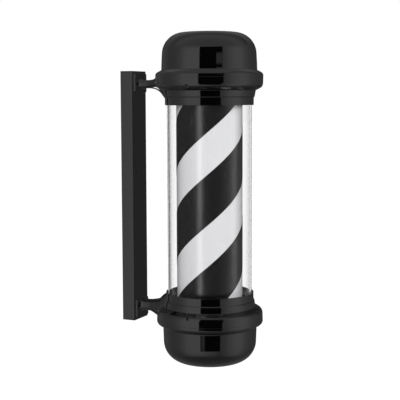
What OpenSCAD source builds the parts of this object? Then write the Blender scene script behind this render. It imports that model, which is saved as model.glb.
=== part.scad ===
// Wall-mounted barber pole: a striped drum turns inside a clear tube between two cast end caps,
// which two arms carry on a wall rail. Millimetres, +X out from the wall, +Z up.
// The origin is the middle of the wall plate's back face, on the wall.

/* [Wall rail] */
// Distance from the wall to the pole's axis
axis_x = 176; // [168:1:200]
// Depth of the rail from the wall to its outer face
rail_d = 26.5; // [24:0.5:32]
// Width of the rail
rail_w = 55; // [52:1:64]
// How far the rail reaches past each foot plate
rail_over = 4.2; // [3.6:0.1:12]
// Wall thickness of the rail
rail_t = 2.5; // [2:0.1:3.5]
// Gap between the wall and the back edges of the rail
wall_gap = 0.5; // [0.3:0.1:1.5]
// Radius of the rail's outer long edges
rail_r = 1.2; // [0.5:0.1:2]
// Thickness of each rail end cap
rail_cap_t = 3; // [2:0.5:4]
// Depth of the plug on each rail end cap
plug_d = 3; // [2:0.5:5]

/* [Wall plate] */
// Thickness of the wall plate
plate_t = 3; // [2:0.5:4]
// Room between the wall plate and each side of the rail
plate_side = 3; // [1:0.5:6]
// Distance between the two wall bolt holes
bolt_span = 300; // [200:5:340]
// Radius of each wall bolt hole
bolt_hole_r = 2.75; // [2:0.25:3.5]
// Radius of the cable bore through the grommet
cable_r = 4; // [3:0.5:5]
// Height of the cable entry, measured down from the middle
cable_drop = 125; // [120:1:135]
// Sideways place of the cable entry
cable_y = 12; // [8:1:13]
// Length of the terminal block
block_len = 44; // [36:1:60]
// Height of the terminal block's middle, measured down from the middle
block_drop = 66; // [50:1:80]

/* [Arms] */
// Height of each arm's axis over the lower edge of the bead
arm_up = 4.2; // [3:0.1:5]
// How far each foot plate stays in from the rail's long edges
foot_in = 5; // [3:0.5:7]
// Height of each foot plate
foot_h = 37; // [32:1:42]
// Thickness of each foot plate
foot_t = 4.5; // [3:0.5:6]
// Half the height of each arm at its foot
arm_hh = 9.2; // [8.6:0.1:10]
// Half the width of each arm at its foot
arm_hw = 14; // [13.5:0.5:16]
// How far each arm's inner edge flares towards the middle of the pole
arm_flare = 22.5; // [14:0.5:23]
// How much each arm widens on each side towards the collar
arm_spread = 12; // [8:0.5:14]
// Gap between each arm and its collar
saddle_gap = 0.3; // [0.2:0.05:0.5]
// Sideways place of the screws in each foot
foot_screw_y = 10; // [8.5:0.5:11.5]
// Sideways place of the screws between each collar and its arm
arm_screw_y = 12; // [10:0.5:15]

/* [Cap outline] */
// Length of clear tube that shows between the two collars
window_h = 355; // [300:1:420]
// How far each collar stands out round the clear tube, at its rim
neck_t = 3.6; // [3:0.1:5]
// Height of the first neck step
neck_h = 14.3; // [12.5:0.1:15]
// How far the second neck step stands out over the first
step_out = 3.8; // [3:0.1:5]
// Height of the second neck step
step_h = 11.1; // [9.5:0.1:12.5]
// How far the bead, the widest part of the pole, stands out over the rim
bead_out = 17.9; // [16:0.1:21]
// Height of the slope under the bead
slope_h = 13.2; // [12:0.1:15]
// Height of the bead's upright face
bead_h = 18.4; // [16:0.2:24]
// Height of the shoulder over the bead
shoulder_h = 8.2; // [7.5:0.1:10]
// How far the dome's side stays in from the bead
dome_in = 11.7; // [10:0.1:14]
// Height of the dome above the shoulder
dome_h = 72.3; // [66:0.1:80]
// Radius of the dome's rounded corner
dome_corner = 40.5; // [34:0.5:44]
// Rise of the crown in the middle of the dome
crown = 2; // [1:0.1:4]

/* [Cap shells] */
// How far up the bead the dome lifts off its collar
split_up = 12.9; // [12:0.1:14]
// Wall thickness of the dome and of the bead
shell_t = 3.5; // [3:0.1:4]
// How far below the bead the inner plate has its seat
seat_drop = 8.6; // [8:0.2:10]
// Thickness of the ledge that stops the tube
ledge_t = 7.5; // [7:0.5:9]
// Width of that ledge inside the tube's outer face
ledge_w = 6; // [5:0.5:9]
// Radius of each screw groove in the slope under the bead
groove_r = 3.2; // [2.8:0.1:3.6]
// How far below the bead each screw groove ends
groove_drop = 0.6; // [0.2:0.1:2]
// Distance of each cap screw in from the bead's face
cap_screw_in = 3.1; // [3:0.1:3.6]
// Height of the register lip on each collar
lip_h = 3; // [2:0.5:4]

/* [Tube] */
// Outer radius of the clear tube, from which the caps and the drum take their size
tube_r = 80; // [72:0.5:95]
// Wall thickness of the clear tube
tube_t = 3; // [2:0.5:4]
// Room round the tube for its gasket
tube_gap = 0.7; // [0.5:0.1:1.2]
// Thickness of the gasket under each end of the tube
gasket_t = 2; // [1:0.5:3]
// Height of the gasket's skirt round the tube
gasket_skirt = 8; // [5:0.5:10]

/* [Drum] */
// Gap between the drum and the inside of the tube
drum_gap = 14.5; // [8:0.5:20]
// Wall thickness of the drum
drum_t = 1.5; // [1:0.1:2]
// Gap between each end of the drum and the inner plate
drum_end_gap = 6; // [4.5:0.5:8]
// Height of one full turn of a stripe
pitch = 343; // [250:1:450]
// Number of dark stripes
stripe_count = 2; // [1:1:4]
// Upright height of a dark stripe
stripe_h = 94; // [40:1:110]
// Direction of a dark stripe's trailing edge at mid-height, in degrees from +X
stripe_from = 238; // [0:1:359]
// Thickness of the stripe film
film_t = 0.3; // [0.2:0.05:0.5]
// Bare margin at each end of the stripe film
film_margin = 9; // [8:0.5:10]
// Thickness of the drum's end discs
disc_t = 3; // [2:0.5:4]
// Height of the skirt that stands out from each end disc
disc_skirt = 8; // [7:0.5:8]
// How far each end disc is sunk into the drum
disc_sink = 9; // [8.5:0.5:12]

/* [Lamp] */
// Radius of the lamp post's round top, on which the drum's bush turns
post_r = 12; // [10:0.5:14]
// Width across the lamp post's flat sides
post_flat = 17; // [15:0.5:19]
// Radius of the bore through the lamp post
post_bore = 6; // [4:0.5:6.5]
// Gap between the foot of the lamp post and the lower disc
post_foot_gap = 35; // [25:1:60]
// Radius of the flange that holds the lamp post
flange_r = 22; // [20:0.5:26]
// Thickness of the inner plates
inner_t = 2; // [1.5:0.5:3]
// Width of the lamp driver
driver_w = 30; // [24:1:36]
// Height of the lamp driver
driver_h = 22; // [20:0.5:26]
// Number of lamp chips along each strip
chip_count = 11; // [6:1:12]
// Width of each lamp chip
chip = 5; // [3:0.5:6]

/* [Drive] */
// Radius of the gear case
motor_r = 25; // [22:0.5:28]
// Height of the motor
motor_h = 15; // [14:0.5:22]
// Height of the gear case
gear_h = 6; // [5:0.5:6.5]
// Radius of the motor shaft
shaft_r = 3.5; // [3:0.1:4]
// How far each motor lug's screw lies outside the gear case
lug_out = 6; // [5:0.5:9]
// Radius of the drive hub's boss
hub_r = 8; // [7:0.5:9]
// Thickness of the thrust washer
washer_t = 1.9; // [1:0.1:2.5]

/* [Fits] */
// Running gap round the shaft and in the bush, on the radius
run_gap = 0.05; // [0.02:0.01:0.1]
// Gap round a screw in its thread, on the radius
thread_gap = 0.05; // [0.02:0.01:0.1]
// Gap round a screw in a plain hole, on the radius
hole_gap = 0.25; // [0.2:0.05:0.4]
// Gap between pieces that slide together
slip_gap = 0.2; // [0.1:0.05:0.3]
// Gap between pieces that are pressed into place by hand
snug_gap = 0.05; // [0.02:0.01:0.1]
// Gap under the drive hub
thrust_gap = 0.3; // [0.2:0.05:0.5]
// Radius of the lamp and motor leads
lead_r = 2.5; // [2:0.1:3]

/* [Hidden] */
fine = 96;
middling = 64;
small = 32;
EPS = 1;
weld = 0.01;

// Screws by thread: shank radius, head radius, head height
m3_r = 1.5;
m3_head_r = 2.7;
m3_head_h = 2;
m4_r = 2;
m4_head_r = 3.6;
m4_head_h = 2.4;
m5_r = 2.5;
m5_head_r = 4.6;
m5_head_h = 3;

// Shape of the cap outline, as distances from its named radii and heights
draft = 0.2;
step_run = 1.8;
step_rise = 1.6;
slope_r = 11;
slope_turn = 50;
slope_ease = 2.4;
bead_draft = 0.3;
shoulder_r = 4.5;
shoulder_turn = 60;
crease = 0.9;
dome_draft = 1;
corner_turn = 86;

// Radii of the caps, worked out from the tube
neck_r = tube_r + neck_t;
step_r = neck_r + step_out;
bead_r = neck_r + bead_out;
dome_r = bead_r - dome_in;
tube_bore = tube_r + tube_gap;
bead_in = bead_r - shell_t;
corner_at = dome_r - dome_draft - dome_corner;

// Heights over a collar's rim, worked out from the steps of the outline
step_top = neck_h + step_h;
bead_lo = step_top + slope_h;
bead_hi = bead_lo + bead_h;
shoulder_top = bead_hi + shoulder_h;
cap_h = shoulder_top + dome_h;
split_h = bead_lo + split_up;
seat_h = bead_lo - seat_drop;
ledge_h = seat_h - ledge_t;
plate_out = seat_h + inner_t;
arm_h = bead_lo + arm_up;
groove_top = bead_lo - groove_drop;
rim_z = window_h / 2;
arm_z = rim_z + arm_h;

// Inside of each collar
ledge_r = tube_r - ledge_w;
seat_r = neck_r + 5;
seat_wall = 3;
flare_out = 3.4;
lip_step = 1;
lip_t = 2;
lip_r = bead_in - lip_step;
inner_plate_r = seat_r - 3 * slip_gap;
plate_screw_at = ledge_r + 8.5;
plate_screw_d = ledge_t - 1.5;
plate_screw_turns = [45, 165, 285];
cap_screw_turns = [0, 90, 270];
cap_screw_at = bead_r - cap_screw_in;
cap_screw_end = bead_hi + 2;
cap_boss = 5.6;
cap_boss_at = cap_screw_at - 2;
cap_boss_end = bead_hi + 5;
cap_head_r = 2.75;
cap_head_h = 3;
pad_margin = 6.5;
pad_t = 5.5;
pad_x = axis_x - bead_in + pad_t;
seal_low = 0.8;

// Rail and wall plate
rail_in = rail_d - rail_t;
rail_half = arm_z + foot_h / 2 + rail_over - rail_cap_t;
plate_w = rail_w - 2 * rail_t - 2 * plate_side;
tab_z = rail_half - plug_d - slip_gap;
tab_t = plate_t;
tab_x = rail_in - 3;
rail_screw_x = (plate_t + tab_x) / 2;
block_w = 24;
block_h = 13;
block_base = 3;
block_end = 8;
block_ways = 3;
way_pitch = 7;
way_z = 8;
well_r = 1.9;
well_d = 5;
wire_r = 1.6;
wire_d = 4;
block_screw_z = block_len / 2 - block_end / 2;
block_screw_d = 2.5;
brass_h = 3;
brass_slot = 0.8;
grommet_t = 2;
grommet_lip = 2;

// Arms
foot_w = rail_w - 2 * foot_in;
foot_r = 4;
foot_x = rail_d + foot_t;
foot_screw_in = 12;
arm_rings = 14;
arm_sides = 28;
arm_power = 3.2;
arm_drop = 3.8;
arm_rise = 6.8;
arm_rise_end = 0.5;
arm_flare_end = 0.85;
arm_root = 1;
arm_bite = 4;
root_low = 1.6;
root_wide = 2;
arm_end = axis_x - neck_r + arm_bite;
saddle_top = split_h + 4;
arm_screw_len = 24;
arm_screw_tip = pad_x - arm_screw_len;
arm_bore_r = lead_r + 1.5;
rail_bore_r = lead_r + 2.5;
screw_short = 1;

// Drum and its bearings
drum_r = tube_r - tube_t - drum_gap;
drum_half = rim_z + seat_h - drum_end_gap;
disc_z = drum_half - disc_sink;
disc_r = drum_r - drum_t - 2 * snug_gap;
disc_wall = 2.4;
disc_in = disc_z - disc_t;
disc_screw_z = disc_z + disc_skirt / 2;
disc_screw_turns = [0, 120, 240];
bush_r = post_r + 4;
bush_flange = 4;
bush_t = 2;
bush_under = 2;
hub_flange_r = 15;
hub_flange_t = 3;
hub_screw_at = 11.8;
hub_screw_turns = [60, 180, 300];
hub_h = seat_h - washer_t - thrust_gap;
hub_low = rim_z + hub_h;
hub_top = -disc_in + hub_flange_t;
set_z = -hub_low + 3.2;
set_d = 2;
set_socket_r = 1;
flat_x = shaft_r - 0.6;
flat_len = 18;
step_angle = stripe_angle() / stripe_steps();
film_in = (drum_r + snug_gap) / cos(step_angle / 2);
film_half = drum_half - film_margin;

// Lamp
post_round = 12;
post_up = 12;
post_top = rim_z + plate_out + post_up;
post_foot = post_foot_gap - disc_in;
flange_t = 3.5;
flange_h = 10;
flange_wall = 3;
flange_screw_at = flange_r - 3.4;
flange_screw_turns = [30, 150, 270];
strip_t = 1.2;
strip_w = 11;
strip_gap = 4;
strip_top = disc_in - post_round - strip_gap;
strip_foot = post_foot + strip_gap;
strip_end = 12;
chip_t = 1.4;
ear = 8;
ear_t = 2.5;
ear_in = 6;
driver_edge = 6;
driver_len = inner_plate_r - driver_edge - flange_r - ear / 2 - ear;
driver_mid = inner_plate_r - driver_edge - ear / 2 - driver_len / 2;
driver_screw_x = driver_len / 2 + ear / 2;

// Drive
gear_low = plate_out + gear_h;
can_r = motor_r - 0.6;
lug_at = motor_r + lug_out;
lug_t = 2;
lug_r = 6;
nut_r = 4;
nut_h = 3.2;

// Leads
lead_x = plate_t + 8;
lead_hole_r = lead_r + 2 * snug_gap;
lead_sides = 8;
lead_bends = 6;
bend_r = 9;
post_bend_r = 5;
post_lead_z = post_top + 4;
post_lead_end = post_top - 14;
block_top = -block_drop + block_len / 2 - block_end;
block_foot = -block_drop - block_len / 2 + block_end;
driver_face = axis_x - driver_mid - driver_len / 2;
lead_grommet_t = 4;

// Radial profile helpers; each point is [distance from the axis, height over the rim]
function arc(c, r, a0, a1, n) =
    [for (i = [0:n]) [c[0] + r * cos(a0 + (a1 - a0) * i / n), c[1] + r * sin(a0 + (a1 - a0) * i / n)]];
function below(top) =
    concat([[neck_r, 0], [neck_r + draft, neck_h], [neck_r + step_run, neck_h + step_rise]],
        [[step_r, step_top]],
        arc([bead_r - bead_draft - slope_r, bead_lo + slope_ease], slope_r, -slope_turn, 0, 5),
        [[bead_r, top]]);
function above(low) =
    concat([[bead_r, low]], arc([bead_r + bead_draft - shoulder_r, bead_hi], shoulder_r, 0, shoulder_turn, 5),
        [[dome_r + crease, shoulder_top], [dome_r, shoulder_top + step_rise]],
        arc([corner_at, cap_h - crown - dome_corner], dome_corner, 0, corner_turn, 12), crown_line(0));
function crown_line(t) = [for (u = [0.9, 0.6, 0.3, 0]) [corner_at * u, cap_h - t - crown * u * u]];
function reverse(pts) = [for (i = [len(pts) - 1:-1:0]) pts[i]];
function grow(pts, g) = [for (p = pts) [p[0] + g, p[1]]];
function stripe_angle() = stripe_h / pitch * 360;
function stripe_steps() = max(4, round(stripe_angle() / 9));

// Puts a shape drawn over the upper rim at the upper (side 1) or the lower (side -1) end
module at_end(side) {
    flipped(side) translate([axis_x, 0, rim_z]) children();
}

module flipped(side) {
    mirror([0, 0, side > 0 ? 0 : 1]) children();
}

module both_sides(y) {
    for (s = [-1, 1]) translate([0, s * y, 0]) children();
}

module round_axis(turns, r = 0) {
    for (a = turns) rotate([0, 0, a]) translate([r, 0, 0]) children();
}

module turned(pts) {
    rotate_extrude($fn = fine) polygon(pts);
}

module ring(r0, r1, z0, z1, fn = fine) {
    rotate_extrude($fn = fn) translate([r0, z0]) square([r1 - r0, z1 - z0]);
}

module rod(r, z0, z1, fn = small) {
    translate([0, 0, z0]) cylinder(r = r, h = z1 - z0, $fn = fn);
}

// A rod along +X
module bar_x(r, x0, x1, fn = small) {
    translate([x0, 0, 0]) rotate([0, 90, 0]) cylinder(r = r, h = x1 - x0, $fn = fn);
}

// A pan-head screw along +Z: the head's seat is at z = 0 and the shank points up
module pan_screw(r, len, head_r, head_h) {
    difference() {
        union() {
            rod(head_r, -head_h, 0);
            rod(r, -weld, len);
        }
        rod(head_r * 0.42, -head_h - EPS, -head_h * 0.45, 6);
    }
}

module m3_screw(len) {
    pan_screw(m3_r, len, m3_head_r, m3_head_h);
}

module m4_screw(len) {
    pan_screw(m4_r, len, m4_head_r, m4_head_h);
}

module m5_screw(len) {
    pan_screw(m5_r, len, m5_head_r, m5_head_h);
}

// A countersunk screw along +Z: the head's flat top is at z = 0 and the shank points up
module flat_screw(r, len) {
    difference() {
        union() {
            cylinder(r1 = 2 * r, r2 = r, h = r, $fn = small);
            rod(r, r - weld, len);
        }
        rod(r * 0.7, -EPS, r * 0.6, 6);
    }
}

module rounded(x, y, r) {
    union() {
        square([x - 2 * r, y], center = true);
        square([x, y - 2 * r], center = true);
        for (i = [-1, 1])
            for (j = [-1, 1])
                translate([i * (x / 2 - r), j * (y / 2 - r)]) circle(r = r, $fn = small);
    }
}

// Solid made of rings that run along +X, where each ring runs from +Y over +Z
module loft(rings, sides) {
    n = len(rings);
    pts = [for (r = rings) for (p = r) p];
    walls = [for (i = [0:n - 2]) for (k = [0:sides - 1])
        let (a = i * sides + k, b = i * sides + (k + 1) % sides)
        each [[a, a + sides, b], [b, a + sides, b + sides]]];
    first = [for (k = [0:sides - 1]) k];
    last = [for (k = [sides - 1:-1:0]) (n - 1) * sides + k];
    polyhedron(points = pts, faces = concat(walls, [first, last]));
}

// A rubber grommet along +X: its sleeve runs from x0 to x1 and its lip lies on the face at x1
module grommet(bore, x0, x1, lip) {
    difference() {
        union() {
            bar_x(bore + grommet_t - snug_gap, x0, x1 + 2 * weld + lip / 2);
            bar_x(bore + grommet_t + grommet_lip, x1 + 2 * weld, x1 + lip);
        }
        bar_x(bore, x0 - EPS, x1 + lip + EPS);
    }
}

// Wall rail

module wall_plate() {
    color("#8d9094") difference() {
        union() {
            translate([0, -plate_w / 2, -tab_z]) cube([plate_t, plate_w, 2 * tab_z]);
            for (s = [-1, 1]) flipped(s)
                translate([0, -plate_w / 2, tab_z - tab_t]) cube([tab_x, plate_w, tab_t]);
        }
        for (s = [-1, 1]) {
            translate([0, 0, s * bolt_span / 2]) bar_x(bolt_hole_r, -EPS, plate_t + EPS);
            flipped(s) translate([rail_screw_x, 0, 0])
                rod(m4_r + thread_gap, tab_z - tab_t - EPS, tab_z + EPS);
            translate([0, 0, s * block_screw_z - block_drop]) bar_x(m3_r + thread_gap, -EPS, plate_t + EPS);
        }
        translate([0, cable_y, -cable_drop]) bar_x(cable_r + grommet_t, -EPS, plate_t + EPS);
    }
}

module rail_outline() {
    translate([wall_gap, -rail_w / 2]) union() {
        square([rail_d - wall_gap - rail_r, rail_w]);
        translate([0, rail_r]) square([rail_d - wall_gap, rail_w - 2 * rail_r]);
        for (y = [rail_r, rail_w - rail_r])
            translate([rail_d - wall_gap - rail_r, y]) circle(r = rail_r, $fn = small);
    }
}

module rail() {
    color("#2f2f30") difference() {
        translate([0, 0, -rail_half]) linear_extrude(2 * rail_half) difference() {
            rail_outline();
            translate([wall_gap - EPS, -rail_w / 2 + rail_t])
                square([rail_in - wall_gap + EPS, rail_w - 2 * rail_t]);
        }
        for (s = [-1, 1]) translate([0, 0, s * arm_z]) {
            bar_x(rail_bore_r, rail_in - EPS, rail_d + EPS);
            both_sides(foot_screw_y) bar_x(m5_r + hole_gap, rail_in - EPS, rail_d + EPS);
        }
    }
}

module rail_cap(side) {
    sink = m4_r + hole_gap;
    color("#2b2b2c") flipped(side) difference() {
        union() {
            translate([0, 0, rail_half]) linear_extrude(rail_cap_t) rail_outline();
            translate([plate_t + slip_gap, -rail_w / 2 + rail_t + slip_gap, rail_half - plug_d])
                cube([rail_in - plate_t - 2 * slip_gap, rail_w - 2 * rail_t - 2 * slip_gap, plug_d + weld]);
        }
        translate([rail_screw_x, 0, 0]) {
            rod(sink, rail_half - plug_d - EPS, rail_half + rail_cap_t + EPS);
            translate([0, 0, rail_half + rail_cap_t - m4_r])
                cylinder(r1 = sink, r2 = 2 * sink, h = sink, $fn = small);
        }
    }
}

module rail_top_cap() {
    rail_cap(1);
}

module rail_bottom_cap() {
    rail_cap(-1);
}

module rail_screws() {
    color("#8a8a8a") for (s = [-1, 1])
        flipped(s) translate([rail_screw_x, 0, rail_half + rail_cap_t])
            rotate([180, 0, 0]) flat_screw(m4_r, rail_cap_t + plug_d + tab_t);
}

module cable_grommet() {
    color("#1b1b1b") translate([0, cable_y, -cable_drop]) grommet(cable_r, 0, plate_t, grommet_t + EPS);
}

function way_y(i) = (i - (block_ways - 1) / 2) * way_pitch;

module terminal_block() {
    color("#e8e6dc") translate([plate_t, 0, -block_drop]) difference() {
        union() {
            translate([0, -block_w / 2, -block_len / 2]) cube([block_base, block_w, block_len]);
            translate([0, -block_w / 2, -block_len / 2 + block_end])
                cube([block_h, block_w, block_len - 2 * block_end]);
        }
        for (i = [0:block_ways - 1]) translate([0, way_y(i), 0]) {
            for (s = [-1, 1]) translate([0, 0, s * way_z]) bar_x(well_r, block_h - well_d, block_h + EPS);
            translate([block_base + wire_r, 0, -block_len / 2 + block_end]) rod(wire_r, -EPS, wire_d);
        }
        for (s = [-1, 1]) translate([0, 0, s * block_screw_z])
            bar_x(m3_r + hole_gap, -EPS, block_base + EPS);
    }
}

module terminal_screws() {
    color("#c9b36a") for (i = [0:block_ways - 1])
        for (s = [-1, 1])
            translate([plate_t + block_h - well_d, way_y(i), s * way_z - block_drop])
                difference() {
                    bar_x(well_r - 2 * snug_gap, 0, brass_h);
                    translate([brass_h - brass_slot, -well_r, -brass_slot / 3])
                        cube([brass_h, 2 * well_r, brass_slot * 2 / 3]);
                }
}

module block_screws() {
    color("#9a9a9a") for (s = [-1, 1])
        translate([plate_t + block_base, 0, -block_drop + s * block_screw_z])
            rotate([0, -90, 0]) m3_screw(block_base + block_screw_d);
}

// Arms

function arm_u(i) = i / (arm_rings - 1);
function arm_x(i) = foot_x - arm_root + (arm_end - foot_x + arm_root) * arm_u(i);
function arm_root_ease(i) = pow(1 - arm_u(i), 8);
function arm_grow(i, end) = min(1, pow(arm_u(i) / end, 4));
function arm_high(i) = arm_hh - arm_drop + arm_rise * arm_grow(i, arm_rise_end);
function arm_low(i) =
    -arm_hh - arm_drop - arm_flare * arm_grow(i, arm_flare_end) - root_low * arm_root_ease(i);
function arm_wide(i) = arm_hw + arm_spread * pow(arm_u(i), 2) + root_wide * arm_root_ease(i);
function round_pow(c) = sign(c) * pow(abs(c), 2 / arm_power);
function arm_point(i, a) =
    [arm_x(i), arm_wide(i) * round_pow(cos(a)),
        (arm_high(i) + arm_low(i)) / 2 + (arm_high(i) - arm_low(i)) / 2 * round_pow(sin(a))];

module arm(side) {
    color("#333334") flipped(side) difference() {
        union() {
            translate([rail_d, 0, arm_z]) rotate([90, 0, 90]) linear_extrude(foot_t)
                rounded(foot_w, foot_h, foot_r);
            translate([0, 0, arm_z]) loft([for (i = [0:arm_rings - 1])
                [for (k = [0:arm_sides - 1]) arm_point(i, 360 * k / arm_sides)]], arm_sides);
        }
        translate([axis_x, 0, rim_z]) turned(concat([[0, 0]], grow(below(saddle_top), saddle_gap),
            [[0, saddle_top]]));
        translate([0, 0, arm_z]) {
            bar_x(arm_bore_r, rail_d - EPS, arm_end + EPS);
            both_sides(foot_screw_y) bar_x(m5_r + thread_gap, rail_d - EPS, rail_d + foot_screw_in);
            both_sides(arm_screw_y) bar_x(m5_r + thread_gap, arm_screw_tip, arm_end);
        }
    }
}

module top_arm() {
    arm(1);
}

module bottom_arm() {
    arm(-1);
}

module foot_screws() {
    color("#707274") for (s = [-1, 1])
        flipped(s) translate([rail_in, 0, arm_z]) both_sides(foot_screw_y)
            rotate([0, 90, 0]) m5_screw(rail_t + foot_screw_in - screw_short);
}

module arm_screws() {
    color("#707274") for (s = [-1, 1])
        flipped(s) translate([pad_x, 0, arm_z]) both_sides(arm_screw_y)
            rotate([0, -90, 0]) m5_screw(arm_screw_len - screw_short);
}

// End caps

module collar(side) {
    color("#3a3a3b") at_end(side) difference() {
        union() {
            turned(concat([[tube_bore, 0]], below(split_h), [[lip_r, split_h],
                [lip_r, split_h + lip_h], [lip_r - lip_t, split_h + lip_h],
                [lip_r - lip_t, split_h - 2 * lip_t], [bead_in, bead_lo + seat_wall],
                [bead_in - lip_t, bead_lo - 1], [seat_r + flare_out, seat_h + seat_wall + 1],
                [seat_r, seat_h + seat_wall], [seat_r, seat_h], [ledge_r, seat_h], [ledge_r, ledge_h],
                [tube_bore, ledge_h]]));
            intersection() {
                turned(concat([[0, 0]], below(split_h), [[0, split_h]]));
                union() {
                    round_axis(cap_screw_turns, cap_boss_at) rod(cap_boss, seat_h + seat_wall, split_h);
                    translate([-bead_r, -arm_screw_y - pad_margin, seat_h + seat_wall + 1])
                        cube([bead_r - (axis_x - pad_x), 2 * (arm_screw_y + pad_margin),
                            split_h - seat_h - seat_wall - 2]);
                }
            }
        }
        round_axis(cap_screw_turns) {
            translate([cap_screw_at, 0, 0]) {
                rod(groove_r, step_top - EPS, groove_top);
                rod(m3_r + hole_gap, groove_top - EPS, split_h + EPS);
            }
            translate([cap_boss_at, 0, 0]) rod(cap_boss + 2 * slip_gap, split_h, split_h + lip_h + EPS);
        }
        round_axis(plate_screw_turns, plate_screw_at)
            rod(m4_r + thread_gap, seat_h - plate_screw_d, seat_h + EPS);
        translate([0, 0, arm_h]) {
            bar_x(lead_hole_r + grommet_t, -bead_r - EPS, -(axis_x - pad_x) + EPS);
            both_sides(arm_screw_y) bar_x(m5_r + hole_gap, -bead_r - EPS, -(axis_x - pad_x) + EPS);
        }
    }
}

module top_collar() {
    collar(1);
}

module bottom_collar() {
    collar(-1);
}

module dome(side) {
    color("#3a3a3b") at_end(side) difference() {
        union() {
            turned(concat(above(split_h), reverse(crown_line(shell_t)),
                arc([corner_at, cap_h - crown - dome_corner], dome_corner - shell_t, corner_turn, 0, 12),
                [[dome_r - shell_t, shoulder_top + step_rise], [bead_in, bead_hi + 1], [bead_in, split_h]]));
            intersection() {
                turned(concat(above(split_h), [[0, split_h]]));
                round_axis(cap_screw_turns, cap_boss_at) rod(cap_boss, split_h, cap_boss_end);
            }
        }
        round_axis(cap_screw_turns, cap_screw_at) rod(m3_r + thread_gap, split_h - EPS, cap_screw_end);
    }
}

module top_dome() {
    dome(1);
}

module bottom_bowl() {
    dome(-1);
}

module bowl_seal(side) {
    color("#141414") at_end(side) difference() {
        ring(lip_r + snug_gap, bead_in - snug_gap, split_h, split_h + lip_h - seal_low);
        round_axis(cap_screw_turns, cap_boss_at)
            rod(cap_boss + 2 * slip_gap, split_h - EPS, split_h + lip_h + EPS);
    }
}

module top_dome_seal() {
    bowl_seal(1);
}

module bottom_bowl_seal() {
    bowl_seal(-1);
}

module cap_screws() {
    color("#1c1c1d") for (s = [-1, 1])
        at_end(s) round_axis(cap_screw_turns, cap_screw_at) translate([0, 0, groove_top])
            pan_screw(m3_r, cap_screw_end - groove_top - screw_short, cap_head_r, cap_head_h);
}

// Clear tube

module outer_tube() {
    color([0.85, 0.9, 0.92, 0.35]) translate([axis_x, 0, 0])
        ring(tube_r - tube_t, tube_r, -rim_z - ledge_h + gasket_t, rim_z + ledge_h - gasket_t);
}

module tube_gasket(side) {
    color("#161616") at_end(side) union() {
        ring(tube_r - tube_t, tube_bore - 2 * snug_gap, ledge_h - gasket_t, ledge_h);
        ring(tube_r + 2 * snug_gap, tube_bore - 2 * snug_gap,
            ledge_h - gasket_t - gasket_skirt, ledge_h - gasket_t + weld);
    }
}

module top_tube_gasket() {
    tube_gasket(1);
}

module bottom_tube_gasket() {
    tube_gasket(-1);
}

// Inner plates and lamp

module inner_plate(side, hole_r) {
    color("#9ea1a4") at_end(side) difference() {
        rod(inner_plate_r, seat_h, plate_out, fine);
        rod(hole_r, seat_h - EPS, plate_out + EPS);
        round_axis(plate_screw_turns, plate_screw_at) rod(m4_r + hole_gap, seat_h - EPS, plate_out + EPS);
        children();
    }
}

module top_plate() {
    inner_plate(1, post_r + slip_gap) {
        round_axis(flange_screw_turns, flange_screw_at)
            rod(m3_r + thread_gap, seat_h - EPS, plate_out + EPS);
        for (s = [-1, 1]) translate([-driver_mid + s * driver_screw_x, 0, 0])
            rod(m3_r + thread_gap, seat_h - EPS, plate_out + EPS);
    }
}

module bottom_plate() {
    inner_plate(-1, shaft_r + EPS) both_sides(lug_at) rod(m4_r + hole_gap, seat_h - EPS, plate_out + EPS);
}

module inner_plate_screws() {
    color("#8a8a8a") for (s = [-1, 1])
        at_end(s) round_axis(plate_screw_turns, plate_screw_at) translate([0, 0, plate_out])
            rotate([180, 0, 0]) m4_screw(inner_t + plate_screw_d - screw_short);
}

module lamp_post() {
    color("#c4c7ca") translate([axis_x, 0, 0]) difference() {
        union() {
            rod(post_r, disc_in - post_round, post_top, middling);
            translate([-post_flat / 2, -post_flat / 2, post_foot])
                cube([post_flat, post_flat, disc_in - post_round - post_foot + weld]);
        }
        rod(post_bore, post_foot - EPS, post_top + EPS);
    }
}

module lamp_flange() {
    color("#4a4c50") at_end(1) translate([0, 0, plate_out]) difference() {
        union() {
            rod(flange_r, 0, flange_t, fine);
            rod(post_r + flange_wall, 0, flange_h, middling);
        }
        rod(post_r + thread_gap, -EPS, flange_h + EPS, middling);
        round_axis(flange_screw_turns, flange_screw_at) rod(m3_r + hole_gap, -EPS, flange_t + EPS);
    }
}

module lamp_flange_screws() {
    color("#8a8a8a") at_end(1) round_axis(flange_screw_turns, flange_screw_at)
        translate([0, 0, plate_out + flange_t]) rotate([180, 0, 0]) m3_screw(flange_t + inner_t - slip_gap);
}

module led_strips() {
    color("#f1efe6") translate([axis_x, 0, 0]) round_axis([0, 90, 180, 270], post_flat / 2)
        translate([0, -strip_w / 2, strip_foot]) cube([strip_t, strip_w, strip_top - strip_foot]);
}

module led_chips() {
    run = strip_top - strip_foot - 2 * strip_end - chip;
    color("#f6e27a") translate([axis_x, 0, 0]) round_axis([0, 90, 180, 270], post_flat / 2 + strip_t)
        for (i = [0:chip_count - 1])
            translate([0, -chip / 2, strip_foot + strip_end + run * i / (chip_count - 1)])
                cube([chip_t, chip, chip]);
}

module lamp_driver() {
    color("#e9e9e6") at_end(1) translate([-driver_mid, 0, plate_out]) difference() {
        union() {
            translate([-driver_len / 2, -driver_w / 2, 0]) cube([driver_len, driver_w, driver_h]);
            translate([-driver_len / 2 - ear, -driver_w / 2 + ear_in, 0])
                cube([driver_len + 2 * ear, driver_w - 2 * ear_in, ear_t]);
        }
        for (s = [-1, 1]) translate([s * driver_screw_x, 0, 0]) rod(m3_r + hole_gap, -EPS, ear_t + EPS);
    }
}

module driver_screws() {
    color("#8a8a8a") at_end(1) for (s = [-1, 1])
        translate([-driver_mid + s * driver_screw_x, 0, plate_out + ear_t]) rotate([180, 0, 0])
            m3_screw(ear_t + inner_t - slip_gap);
}

// Leads: each runs in the plane y = 0, and a point is [x, z, heading in degrees from +X towards +Z]

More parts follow.
